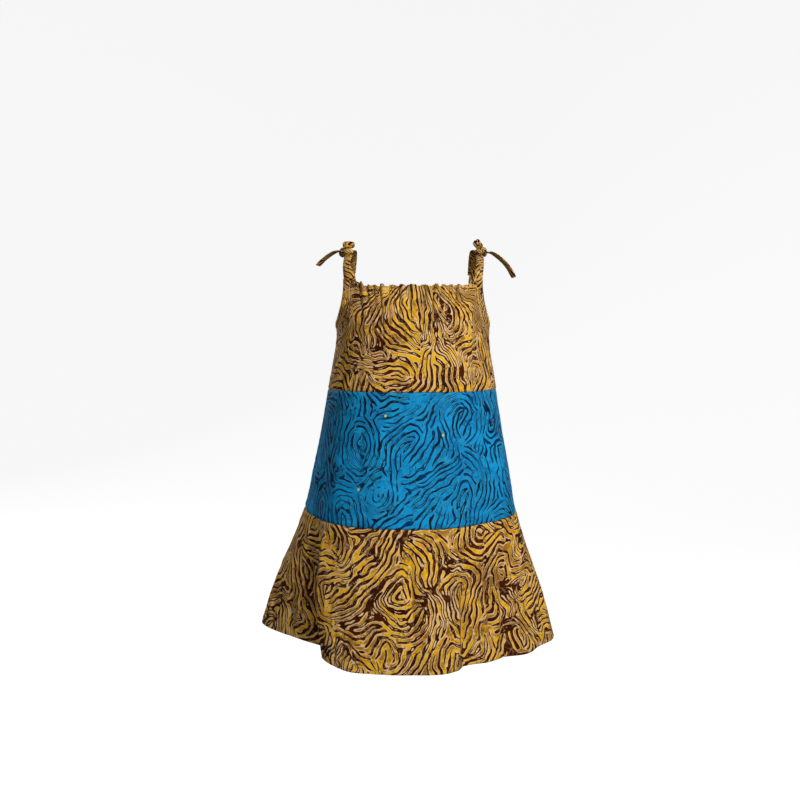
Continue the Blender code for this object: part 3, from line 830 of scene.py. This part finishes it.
def print_material(name, palette, dots=False):
    """Wax print cotton. add_print stores the lines that it draws."""
    n = Nodes(name)
    uv = n.add("ShaderNodeUVMap", {}, uv_map="cloth")
    place, width, core = n.channels("drawn")
    tone, shifted, inside = n.channels("laid")

    # Lines with ragged edges, some with a pale core
    ragged = n.maths("MULTIPLY_ADD", n.noise(uv, 0.0024, 3.0), 0.20, -0.10)
    place = n.maths("ADD", place, ragged)
    ink = n.between(n.maths("SUBTRACT", place, width), 0.025, -0.025)
    pale_core = n.between(n.maths("SUBTRACT", core, place), -0.02, 0.02)
    nearest = n.maths("MINIMUM", place, n.maths("ADD", shifted, ragged))
    aside = n.maths("SUBTRACT", nearest, width)

    # The ground between them, mottled, with warm patches and pale rims
    mottle, broad = n.noise(uv, 0.007, 4.0), n.noise(uv, 0.018)
    cloudy = n.maths("MULTIPLY_ADD", mottle, 1.4, n.maths("MULTIPLY_ADD", broad, 1.5, -1.0))
    cloudy = n.maths("MULTIPLY_ADD", tone, 0.30, cloudy)
    ground = n.mix(n.between(cloudy, 0.15, 0.80), palette.bright, palette.dull)
    ground = n.cover(ground, n.between(n.noise(uv, 0.030), 0.60, 0.72), 0.55, palette.warm)
    rim_width = n.maths("MULTIPLY_ADD", n.between(n.noise(uv, 0.012), 0.38, 0.66), 0.24, 0.06)
    rim = n.between(n.maths("DIVIDE", aside, rim_width), 1.0, 0.5)
    ground = n.cover(ground, rim, 0.88, palette.contour)

    # Cracks in the wax
    shift = {0: n.noise(uv, 1 / 160, 3.0, output=1), 1: (0.007, 0.007, 0.0), 2: uv}
    crazed = n.add("ShaderNodeVectorMath", shift, operation="MULTIPLY_ADD")
    cells = {"Vector": crazed, "Scale": 110.0}
    cracks = n.add("ShaderNodeTexVoronoi", cells, feature="DISTANCE_TO_EDGE")
    patches = n.between(n.noise(uv, 0.016), 0.46, 0.58)
    veins = n.maths("MULTIPLY", n.between(cracks, 0.060, 0.020), patches)
    ground = n.cover(ground, veins, 0.80, palette.vein)

    dark = n.mix(n.between(n.noise(uv, 0.03), 0.40, 0.60), palette.ink, palette.ink_tint)
    dark = n.cover(dark, veins, 0.22, palette.contour)
    colour = n.cover(n.mix(ink, ground, dark), pale_core, 0.92, palette.contour)
    if dots:
        colour = n.mix(dots_mask(n, uv), colour, DOT)
    faded = {"Saturation": 0.86, "Value": 0.88, "Fac": inside, "Color": colour}
    rough = {"Value": mottle, "From Min": 0.3, "From Max": 0.7, "To Min": 0.56, "To Max": 0.70}

    # Crossed threads, with thicker ones here and there
    turns = {"Vector": uv, "Scale": math.pi * 0.1 / WEAVE}
    threads = n.maths("ADD", *(
        n.add("ShaderNodeTexWave", turns, output=1, wave_type="BANDS", bands_direction=axis)
        for axis in ("X", "Y")
    ))
    slubs = n.maths("MULTIPLY_ADD", n.noise(uv, 0.0016, 3.0), 1.4, threads)
    n.fill(n.shader, {
        "Base Color": n.add("ShaderNodeHueSaturation", faded),
        "Roughness": n.add("ShaderNodeMapRange", rough),
        "Specular IOR Level": 0.03,
        "Sheen Weight": 0.01,
        "Sheen Roughness": 0.45,
        "Normal": n.bump(slubs, 0.35, 0.00005),
    })
    return n.material


def thread_material():
    n = Nodes("thread")
    spot = n.add("ShaderNodeTexCoord", {}, output=3)
    shade = n.between(n.noise(spot, 0.004), 0.35, 0.65)
    n.fill(n.shader, {
        "Base Color": n.mix(shade, (0.10, 0.055, 0.022), (0.20, 0.12, 0.05)),
        "Roughness": 0.6,
        "Normal": n.bump(n.noise(spot, 0.0005), 0.4, 0.0001),
    })
    return n.material


# Meshes

def make_object(name, vertices, faces, material):
    """A smooth mesh in the scene."""
    mesh = bpy.data.meshes.new(name)
    mesh.from_pydata(vertices, [], faces)
    mesh.validate()
    mesh.shade_smooth()
    mesh.materials.append(material)
    made = bpy.data.objects.new(name, mesh)
    bpy.context.scene.collection.objects.link(made)
    return made


def make_piece(name, vertices, faces, material, node=None):
    """A mesh that rides with the dress, and stands for a solid if one is named."""
    piece = make_object(name, vertices, faces, material)
    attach(piece, "root")
    if node:
        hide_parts(node)
    return piece


def add_print(piece, layers, u, v, inside, turn=0.0, offset=(0.0, 0.0)):
    """Lays the print on a piece from its flat places; turn 45 degrees is a bias cut."""
    cosine, sine = math.cos(math.radians(turn)), math.sin(math.radians(turn))
    across = u * cosine - v * sine + offset[0]
    down = u * sine + v * cosine + offset[1]
    values = read_field(layers, across, down)
    mesh = piece.data
    full = np.ones((len(u), 1))
    drawn = np.concatenate([values[:, 0:3], full], axis=1)
    laid = np.concatenate([values[:, 3:5], inside[:, None], full], axis=1)
    for name, rows in (("drawn", drawn), ("laid", laid)):
        attribute = mesh.attributes.new(name, "FLOAT_COLOR", "POINT")
        attribute.data.foreach_set("color", rows.astype(np.float32).ravel())
    corners = np.empty(len(mesh.loops), int)
    mesh.loops.foreach_get("vertex_index", corners)
    places = np.stack([across[corners], down[corners]], axis=-1)
    layer = mesh.uv_layers.new(name="cloth")
    layer.data.foreach_set("uv", places.astype(np.float32).ravel())


def lengths_along(grid, axis):
    steps = np.linalg.norm(np.diff(grid, axis=axis), axis=-1)
    start = np.zeros_like(np.take(steps, [0], axis=axis))
    return np.concatenate([start, np.cumsum(steps, axis=axis)], axis=axis)


def grid_normals(grid):
    return unit(np.cross(np.gradient(grid, axis=1), np.gradient(grid, axis=0)))


def numbered(rows, columns):
    return np.arange(rows * columns).reshape(rows, columns)


def closed(index, axis):
    """A grid of point numbers that joins up round one axis."""
    return np.concatenate([index, np.take(index, [0], axis=axis)], axis=axis)


def quads(index):
    corners = [index[:-1, :-1], index[:-1, 1:], index[1:, 1:], index[1:, :-1]]
    return np.stack([c.ravel() for c in corners], axis=-1)


def border_of(index):
    """The numbers round the edge of a grid, once round."""
    return np.concatenate([index[:, 0], index[-1, 1:], index[-2::-1, -1], index[0, -2:0:-1]])


def shell_faces(columns, rows):
    """A closed shell: an outer grid, an inner one of every second point, and the edge."""
    outer = numbered(columns, rows)
    inner = numbered((columns + 1) // 2, (rows + 1) // 2) + outer.size
    rim, lining = border_of(outer), border_of(inner)
    after, lining_after = np.roll(rim, -2), np.roll(lining, -1)
    edge = np.stack([rim[::2], rim[1::2], after[::2], lining_after, lining], axis=-1)
    return [*quads(outer), *quads(inner)[:, ::-1], *edge]


# Panels

def crease_depth(table, angles, levels, u, v):
    """How far the creases move each point of a panel out, in metres."""
    out = np.zeros_like(u)
    for crease in map(Crease._make, table):
        column = np.argmin(np.abs(wrapped(angles - crease.angle)))
        row = np.argmin(np.abs(levels[column] + crease.level / 1000))
        du = (u - u[column, row]) * 1000
        dv = (v - v[column, row]) * 1000
        lean = math.radians(crease.lean)
        along = (dv * math.cos(lean) + du * math.sin(lean)) / (crease.run / 2)
        aside = du * math.cos(lean) - dv * math.sin(lean) - crease.bend * (1 - along**2)
        fade = np.clip(1 - along**2, 0, 1) ** 1.5
        profile = np.exp(-(np.abs(aside / crease.width) ** CREASE_SHARPNESS))
        out += crease.depth / 1000 * fade * profile
    return out


def row_shares(height, seam_above, seam_below):
    """An odd number of rows down a panel, closer together along its seams."""
    fine = np.arange(0, EDGE_ROWS, EDGE_GRID)
    start = fine if seam_above else fine[:1]
    end = height - fine[::-1] if seam_below else np.array([height])
    first, last = start[-1], end[0]
    count = int(round((last - first) / GRID))
    count += (len(start) + len(end) + count) % 2
    middle = np.linspace(first, last, count + 1)[1:-1]
    return np.concatenate([start, middle, end]) / height


def even_columns(edges, lowest, highest):
    """Angles that lie equal lengths of cloth apart, closer at both ends."""
    angles = np.linspace(lowest, highest, EDGE_SAMPLES)
    lines = edges(angles)
    along = sum(lengths_along(line[:, None], 0)[:, 0] for line in lines) / len(lines)
    shares = row_shares(along[-1], True, True)
    return np.interp(shares * along[-1], along, angles)


def build_panel(name, grid, angles, levels, cloth, turned, offset):
    """One panel's shell. turned is its casing or turn-up; its other edges are sewn."""
    u, v = lengths_along(grid, 0), lengths_along(grid, 1)
    to_top, to_bottom = v, v[:, -1:] - v
    to_seam = np.minimum(u, u[-1] - u)
    if turned is not CASING:
        to_seam = np.minimum(to_seam, to_top)
    if turned is not TURN_UP:
        to_seam = np.minimum(to_seam, to_bottom)
    u = u - u[len(u) // 2]
    if turned is CASING:
        v = v - v[:, -1:] + v[len(v) // 2, -1]

    rumple = read_field(RUMPLE, u + offset[0], v + offset[1])
    out = crease_depth(CREASES[name], angles, levels, u, v)
    out += RUMPLE_DEPTH * (0.45 * rumple[..., 1] + 0.9 * rumple[..., 2])
    out += PUCKER_DEPTH * rumple[..., 0] * np.exp(-to_seam / PUCKER_WIDTH)
    out -= ROLL_DEPTH * (1 - np.clip(to_seam / ROLL_WIDTH, 0, 1)) ** 2
    outer = inner = np.full(u.shape, COTTON / 2)
    if turned:
        edge = to_top if turned is CASING else to_bottom
        doubled = ease((turned.depth - edge) / TURN_SOFTNESS + 0.5)
        inner = inner + turned.layer * doubled
        outer = outer + turned.layer * 0.25 * doubled
        groove = np.exp(-(((edge - turned.stitch) / GROOVE_WIDTH) ** 2))
        out -= groove * (GROOVE_DEPTH + GROOVE_UNEVEN * rumple[..., 0])

    middle = grid + grid_normals(grid) * out[..., None]
    normals = grid_normals(middle)
    surface = middle + normals * outer[..., None]
    lining = (middle - normals * inner[..., None])[::2, ::2]
    points = np.concatenate([surface.reshape(-1, 3), lining.reshape(-1, 3)])
    faces = shell_faces(*u.shape)
    piece = make_piece(name + "_cloth", points, faces, cloth.material, name)
    u = lengths_along(middle, 0)
    u = u - u[len(u) // 2]
    if turned is CASING:
        u = gathered_width(u, angles, to_top)
    flat_u, flat_v = (np.concatenate([flat.ravel(), flat[::2, ::2].ravel()]) for flat in (u, v))
    inside = (np.arange(len(points)) >= u.size).astype(float)
    add_print(piece, cloth.layers, flat_u, flat_v, inside, offset=offset)
    return piece, surface, normals


def stitch_row(name, points, normals, slot):
    """A row of stitches along a line of points, as small rounded bars."""
    along = lengths_along(points[:, None], 0)[:, 0]
    count = int(along[-1] / STITCH) - 1
    places = (np.arange(count) + 0.5) * along[-1] / count
    half = STITCH_LENGTH / 2

    def read(rows, at):
        return np.stack([np.interp(at, along, rows[:, k]) for k in range(3)], -1)

    start, end = read(points, places - half), read(points, places + half)
    up = unit(read(normals, places))
    forward = unit(end - start)
    aside = np.cross(up, forward)
    middle = (start + end) / 2
    vertices = [
        middle
        + forward * half * reach
        + aside * a * thick * STITCH_WIDTH / 2
        + up * (b * thick * 0.7 + rise * 0.8) * STITCH_WIDTH / 2
        for reach, thick, rise in STITCH_RINGS
        for a, b in ((1, 0), (0, 1), (-1, 0), (0, -1))
    ]
    bar = [*quads(closed(numbered(4, 4), 1)), (3, 2, 1, 0), (12, 13, 14, 15)]
    faces = (np.array(bar) + np.arange(count)[:, None, None] * 16).reshape(-1, 4)
    return make_piece(name, np.stack(vertices, axis=1).reshape(-1, 3), faces, thread)


Cloth = namedtuple("Cloth", "layers material slot")
yellow = Cloth(YELLOW_PRINT, print_material("yellow_print_cotton", YELLOW), "yellow_print")
blue = Cloth(BLUE_PRINT, print_material("blue_print_cotton", BLUE, dots=True), "blue_print")
ties = Cloth(TIE_PRINT, print_material("tie_print_cotton", YELLOW), "tie_print")
thread = thread_material()

# Tiers. ring: the seam where the side gaps are measured. top: None follows the neckline.
# offsets: where the front and back are cut from the print. flat and area: as cut.
Tier = namedtuple("Tier", "name place ring top bottom turned cloth offsets held flat area")
TIERS = [
    Tier(
        "top", body_point, UPPER_SEAM, None, UPPER_SEAM + SEAM_GAP / 2, CASING, yellow,
        ((0.30, 0.0), (0.52, 0.25)), "gathered", (0.330, 0.160), 0.046,
    ),
    Tier(
        "middle", body_point, UPPER_SEAM, UPPER_SEAM - SEAM_GAP / 2, LOWER_SEAM + SEAM_GAP / 2,
        None, blue, ((0.0, 0.0), (1.08, 0.0)), "hung", (0.430, 0.172), 0.066,
    ),
    Tier(
        "hem", hem_tier_point, LOWER_SEAM, LOWER_SEAM - SEAM_GAP / 2, HEM, TURN_UP, yellow,
        ((0.33, 0.17), (0.62, 0.02)), "hung", (0.640, 0.215), 0.112,
    ),
]


def build_tier_half(tier, half, centre, offset):
    """The front or back panel of a tier, with the stitches of its turned edge."""
    gap = math.degrees(SEAM_GAP / 2 / section_at(np.float64(tier.ring)).front)
    turned = tier.turned

    def top_at(angles):
        return top_level(angles) if tier.top is None else np.full(len(angles), tier.top)

    def edges(angles):
        """The panel's upper and lower edges; the hem's columns follow its lower edge alone."""
        angles = wrapped(angles)
        levels = [tier.bottom] if turned is TURN_UP else [top_at(angles), tier.bottom]
        return [tier.place(angles, level) for level in levels]

    angles = wrapped(even_columns(edges, centre - 90 + gap, centre + 90 - gap))
    height = (NECK if tier.top is None else tier.top) - tier.bottom
    shares = row_shares(height, turned is not CASING, turned is not TURN_UP)
    top = top_at(angles)[:, None]
    levels = top + (tier.bottom - top) * shares
    grid = tier.place(angles[:, None], levels)
    name = f"{tier.name}_{half}"
    piece, surface, normals = build_panel(name, grid, angles, levels, tier.cloth, turned, offset)
    if turned:
        from_edge = height * (shares if turned is CASING else 1 - shares)
        row = np.argmin(np.abs(from_edge - turned.stitch))
        corner = FRONT_CORNER if half == "front" else BACK_CORNER
        reach = corner - 1.0 if turned is CASING else 90
        sewn = np.abs(wrapped(angles - centre)) < reach
        line = surface[sewn, row], normals[sewn, row]
        stitch_row(name + turned.suffix, *line, tier.cloth.slot)


# Bindings, straps and bows

TAPE_SIDES = 30
TAPE_GRID = 0.0008
TAPE_BUNCHING = 1.55  # a strip is bunched, so that its print looks this much finer
TAPE_UNDERSIDE = 0.031  # how far off the underside's print is cut

# loft: how much thicker its middle is. pinch: how far crumples narrow it. fold: where a fold
# lies across it, from -1 to 1. curl: how far its sides bend up. fill: how far its inner side
# swells into a loop.
TapeLook = namedtuple("TapeLook", "thick loft crumples crumple pinch fold fold_depth curl fill")
BINDING_LOOK = TapeLook(0.0019, 0.6, 4, 0.0007, 0.06, 0, 0, -0.10, 0)
STRAP_LOOK = TapeLook(0.0022, 0.9, 5, 0.0013, 0.16, 0.15, 0.0008, -0.15, 0)
UPPER_LOOP_LOOK = TapeLook(0.0020, 0.4, 4, 0.0012, 0.10, 0.2, 0.0006, -0.50, 0.0056)
LEANING_LOOP_LOOK = TapeLook(0.0024, 0.5, 4, 0.0012, 0.05, 0.25, 0.0009, -0.20, 0.0008)
BACK_LOOP_LOOK = TapeLook(0.0019, 0.4, 4, 0.0010, 0.12, 0.2, 0.0005, -0.40, 0.0008)
TAIL_LOOK = TapeLook(0.0017, 0.5, 4, 0.0010, 0.10, -0.2, 0.0004, 0.12, 0)
LOOP_LOOKS = {  # and the place that each is cut from
    "loop_upper_right": (UPPER_LOOP_LOOK, (0.050, 0.070)),
    "loop_upper_left": (LEANING_LOOP_LOOK, (0.405, 0.205)),
    "loop_back_right": (BACK_LOOP_LOOK, (0.33, 0.30)),
    "loop_back_left": (BACK_LOOP_LOOK, (0.42, 0.30)),
}
UPPER_LOOP_PINCH = 0.0100
LOOP_FOOT_DROP = 0.0010  # the upper loops start on the knot
STRAP_FLARES = {  # a front strap widens towards the neckline's corner
    "strap_front_right": 0.0075,
    "strap_front_left": 0.0035,
    "strap_back_right": 0.0030,
    "strap_back_left": 0.0030,
}
FLARE_REACH = 0.40
KNOT_AROUND = 64
KNOT_OVER = 36
KNOT_RADIUS = 0.006  # roughly, to lay its print
STRAP_POINTS = 33
BOW_STEP = 0.002  # between the points of a loop's or tail's path


def resample(path, rows, spacing):
    """How far along a path even steps lie, with its points and other rows there."""
    along = lengths_along(path[:, None], 0)[:, 0]
    count = max(8, int(round(along[-1] / spacing)))
    at = np.linspace(0, along[-1], count + 1)
    return at, smooth(along, path, at), [smooth(along, r, at) for r in rows]


def tape(name, side, path, normals, widths, look, seed, offset):
    """A folded bias strip along a path, which stands for the solid of that name."""
    widths = np.asarray(widths)[:, None]
    at, path, (normals, widths) = resample(path, [normals, widths], TAPE_GRID)
    tangents = unit(np.gradient(path, axis=0))
    normals = unit(normals - tangents * (normals * tangents).sum(axis=1, keepdims=True))
    sideways = np.cross(tangents, normals)
    turns = np.linspace(0, 2 * np.pi, TAPE_SIDES, endpoint=False)
    s, a = np.meshgrid(at, turns, indexing="ij")
    half_width = widths / 2
    across = half_width * power(np.cos(a), 0.72)
    share = across / half_width

    random = np.random.default_rng(seed)
    rise = np.zeros_like(s)
    for _ in range(look.crumples):
        apart, twist = random.uniform(0.005, 0.010), random.uniform(0.012, 0.035)
        phase, deep = random.uniform(0, 2 * np.pi), random.uniform(0.4, 1.0)
        wave = np.sin(np.pi * (across / apart + s / twist) + phase)
        rise += deep * (1 - np.abs(wave) ** 0.8)
    rise = rise / look.crumples - 0.35
    edge_keep = 1 - np.abs(share) ** 6
    thickness = look.thick * (1 + look.loft * (1 - share**2)) * power(np.sin(a), 0.7) / 2
    fold_line = np.exp(-(((share - look.fold) / 0.12) ** 2)) * look.fold_depth
    lift = look.crumple * rise * edge_keep * np.sign(np.sin(a) + 1e-9) * 0.7
    lift += look.crumple * rise * 0.6
    lift -= fold_line * (np.sin(a) > 0.2)
    lift += look.curl * share**2 * half_width
    bunched = np.sin(np.pi * s / at[-1]).clip(0) ** 0.2 * (1 - share**2)
    lift -= look.fill * bunched * np.clip(-np.sin(a) * 2, 0, 1)
    narrow = 1 - look.pinch * np.clip(rise, 0, 1) - 0.25 * look.curl**2 * share**2
    points = (
        path[:, None]
        + sideways[:, None] * (across * narrow)[..., None]
        + normals[:, None] * (thickness + lift)[..., None]
    )

    index = numbered(*s.shape)
    faces = [*quads(closed(index, 1)), index[0][::-1], index[-1]]
    points = points.reshape(-1, 3)
    piece = make_piece(name + "_tape", points, faces, ties.material, name)
    around = across + np.where(np.sin(a) < 0, TAPE_UNDERSIDE, 0.0)
    u, v = s.ravel() * TAPE_BUNCHING, around.ravel() * TAPE_BUNCHING
    add_print(piece, ties.layers, u, v, np.zeros(s.size), 45 * side, offset)
    return path, normals, sideways


def binding_path(side):
    """The middle of an armhole's binding, from front to back, and its normals."""
    shares = 1 - np.cos(np.pi / 2 * np.arange(41) / 40)
    front = FRONT_CORNER + (90 - FRONT_CORNER) * shares
    back = 180 - BACK_CORNER - (90 - BACK_CORNER) * shares
    angles = side * np.concatenate([front, back[-2::-1]])
    edge = body_point(angles, top_level(angles))
    normals = surface_normal(angles, top_level(angles))
    tangents = unit(np.gradient(edge, axis=0))
    away = unit(np.cross(normals, tangents)) * side
    return edge + away * (BINDING_WIDTH / 2 + SEAM_GAP), normals


def strap_path(base, onward, side):
    """From the end of a binding up to the shoulder, where it stops under the knot."""
    start = base + onward * (SEAM_GAP + STRAP_STRAIGHT)
    top = np.array([side * SHOULDER_X, math.copysign(SEAM_GAP / 2, base[1]), -TAPE / 2])
    reach = np.linalg.norm(top - start)
    leave = onward * reach * STRAP_RISE
    arrive = np.array([0.0, -math.copysign(reach * STRAP_CROWN, base[1]), 0.0])
    curve = hermite(start, leave, top, arrive, np.linspace(0, 1, STRAP_POINTS)[:, None])
    return np.concatenate([[base + onward * SEAM_GAP], curve])


def build_edges_and_straps(side, suffix):
    path, normals = binding_path(side)
    name = "armhole_binding_" + suffix
    widths, offset = [BINDING_WIDTH] * len(path), (0.20 + 0.1 * side, 0.08)
    sewn = tape(name, side, path, normals, widths, BINDING_LOOK, 21 + side, offset)
    line, out, aside = (rows[2:-2] for rows in sewn)
    line = line - aside * (BINDING_WIDTH / 2 - BINDING_STITCH) * side + out * TAPE * 0.75
    stitch_row(name + "_stitches", line, out, ties.slot)
    shoulder = np.array([side * SHOULDER_SLOPE, 0.0, 1.0])
    for k, (part, end, before) in enumerate((("strap_front_", 0, 4), ("strap_back_", -1, -5))):
        name = part + suffix
        strap = strap_path(path[end], unit(path[end] - path[before]), side)
        shares = np.linspace(0, 1, len(strap))
        hints = normals[end] * (1 - shares[:, None]) + shoulder * shares[:, None]
        flare = STRAP_FLARES[name] * (1 - ease(shares / FLARE_REACH))
        widths = BINDING_WIDTH + (STRAP_WIDTH - BINDING_WIDTH) * np.minimum(1, shares * 3)
        strap[:, 0] -= side * flare / 2
        offset = (0.24 + 0.17 * k + 0.12 * side, 0.165 + 0.015 * side)
        tape(name, side, strap, hints, widths + flare, STRAP_LOOK, 40 + k + 2 * side, offset)


def knot_middle(side):
    return np.array([side * SHOULDER_X, 0.0, 2 * SEAM_GAP + KNOT_SIZE[2] / 2])


def build_knot(side, suffix):
    """A squat knot: soft rolls of tape that cross and turn under each other."""
    turns = np.linspace(0, 2 * np.pi, KNOT_AROUND, endpoint=False)
    tilts = np.linspace(0, np.pi, KNOT_OVER + 1)[1:-1]
    turn, tilt = np.meshgrid(turns, tilts, indexing="ij")
    x = power(np.sin(tilt), 0.8) * power(np.cos(turn), 0.85)
    y = power(np.sin(tilt), 0.8) * power(np.sin(turn), 0.85)
    z = power(np.cos(tilt), 0.85)
    roll = np.sin(5.2 * x + 2.4 * y * side + 3.0 * z)
    crossing = np.sin(4.6 * y - 2.8 * x * side + 1.2)
    swell = 1 + 0.055 * np.abs(roll) ** 0.6 + 0.035 * np.abs(crossing) - 0.05
    size = np.array(KNOT_SIZE) / 2
    points = knot_middle(side) + np.stack([x, y, z], -1) * size * swell[..., None]
    index = numbered(*turn.shape)
    faces = [*quads(closed(index, 0)), index[:, 0], index[::-1, -1]]
    points, name = points.reshape(-1, 3), "knot_" + suffix
    piece = make_piece(name + "_tape", points, faces, ties.material, name)
    u, v = (turn * KNOT_RADIUS).ravel(), (tilt * KNOT_RADIUS).ravel()
    add_print(piece, ties.layers, u, v, np.zeros(u.size), 45, (0.4, 0.2 + side * 0.1))


def bow_path(path):
    """A loop's or tail's path at even steps, and the share of it that each has reached."""
    _, path, _ = resample(path, [], BOW_STEP)
    return path, np.linspace(0, 1, len(path))


def build_bow(side, suffix):
    def placed(points):
        return knot_middle(side) + np.array(points) * (side, 1, 1) / 1000

    for k, (name, points) in enumerate(LOOPS.items()):
        if name.endswith(suffix):
            look, offset = LOOP_LOOKS[name]
            path, pinched = placed(points), PINCHED
            if "upper" in name:
                foot = (path[0] + path[-1]) / 2 - [0.0, 0.0, LOOP_FOOT_DROP]
                path, pinched = np.concatenate([[foot], path, [foot]]), UPPER_LOOP_PINCH
            path, shares = bow_path(path)
            widths = np.interp(shares, [0, 0.25, 0.75, 1], [pinched, LOOSE, LOOSE, pinched])
            tape(name, side, path, path - path.mean(axis=0), widths, look, 60 + k, offset)
    for k, (name, points) in enumerate(TAILS.items()):
        if name.endswith(suffix):
            path, shares = bow_path(placed(points))
            widths = np.interp(shares, [0, 0.3, 1], [PINCHED, LOOSE, LOOSE])
            up = np.tile([side * TAIL_TILT, TAIL_TILT, 1.0], (len(path), 1))
            tape(name, side, path, up, widths, TAIL_LOOK, 80 + k, (0.55 + 0.07 * k, 0.11))


for tier in TIERS:
    for half, centre, offset in zip(("front", "back"), (0, 180), tier.offsets):
        build_tier_half(tier, half, centre, offset)
for side, suffix in ((-1, "right"), (1, "left")):
    build_edges_and_straps(side, suffix)
    build_knot(side, suffix)
    build_bow(side, suffix)


# Studio

FLOOR = -0.93
BOWL_FLAT = 2.2
BOWL_BEND = 1.6
BOWL_TOP = 3.0
BOWL_SIDES = 96
LIGHT_AIM = (0.0, 0.0, -0.3)
CAMERA = (-0.020, -1.5, -0.186)
CAMERA_TILT = 0.82  # degrees down
SENSOR = 36.0
FOCUS = 1047 / 800  # in widths of the picture


def build_bowl():
    """A pale floor that curves up all round."""
    bend = np.pi / 2 * np.arange(1, 17) / 16
    reach = [0.05, *(BOWL_FLAT * np.arange(1, 7) / 6), *(BOWL_FLAT + BOWL_BEND * np.sin(bend))]
    height = [FLOOR] * 7 + [*(FLOOR + BOWL_BEND * (1 - np.cos(bend)))]
    profile = [*zip(reach, height), (BOWL_FLAT + BOWL_BEND, BOWL_TOP)]
    turns = 2 * math.pi * np.arange(BOWL_SIDES) / BOWL_SIDES
    points = [(r * math.cos(t), r * math.sin(t), z) for t in turns for r, z in profile]
    index = numbered(BOWL_SIDES, len(profile))
    faces = [index[:, 0], *quads(closed(index, 0))]
    n = Nodes("floor_paper")
    grain = n.noise(n.add("ShaderNodeTexCoord", {}, output=3), 0.002)
    n.fill(n.shader, {
        "Base Color": n.mix(grain, (0.42, 0.42, 0.42), (0.44, 0.44, 0.44)),
        "Roughness": 0.95,
        "Emission Color": (1.0, 1.0, 1.0, 1.0),
        "Emission Strength": 0.80,
    })
    bowl = make_object("floor", points, faces, n.material)
    bowl.visible_diffuse = False
    bowl.visible_glossy = False
    bowl.visible_shadow = False


def add_light(name, place, size, watts):
    data = bpy.data.lights.new(name, "AREA")
    data.shape = "DISK"
    data.size = size
    data.energy = watts
    light = bpy.data.objects.new(name, data)
    light.location = place
    x, y, z = np.array(LIGHT_AIM) - np.array(place)
    light.rotation_euler = (math.atan2(math.hypot(x, y), -z), 0.0, math.atan2(-x, y))
    bpy.context.scene.collection.objects.link(light)


build_bowl()
add_light("key", (1.30, -1.82, 0.95), 0.45, 54)
add_light("fill", (-0.9, -2.3, 0.3), 1.6, 9)
add_light("back_left", (-1.6, 1.9, 0.9), 1.0, 30)
add_light("back_right", (1.7, 1.8, 0.5), 1.2, 7)

world = bpy.data.worlds.new("studio")
world.use_nodes = True
background = world.node_tree.nodes["Background"].inputs
background["Color"].default_value = (1.0, 1.0, 1.0, 1.0)
background["Strength"].default_value = 0.13
bpy.context.scene.world = world
bpy.context.scene.view_settings.view_transform = "Standard"

camera_data = bpy.data.cameras.new("camera")
camera_data.sensor_width = SENSOR
camera_data.lens = FOCUS * SENSOR
camera = bpy.data.objects.new("camera", camera_data)
camera.location = CAMERA
camera.rotation_euler = (math.radians(90 - CAMERA_TILT), 0.0, 0.0)
bpy.context.scene.collection.objects.link(camera)
bpy.context.scene.camera = camera
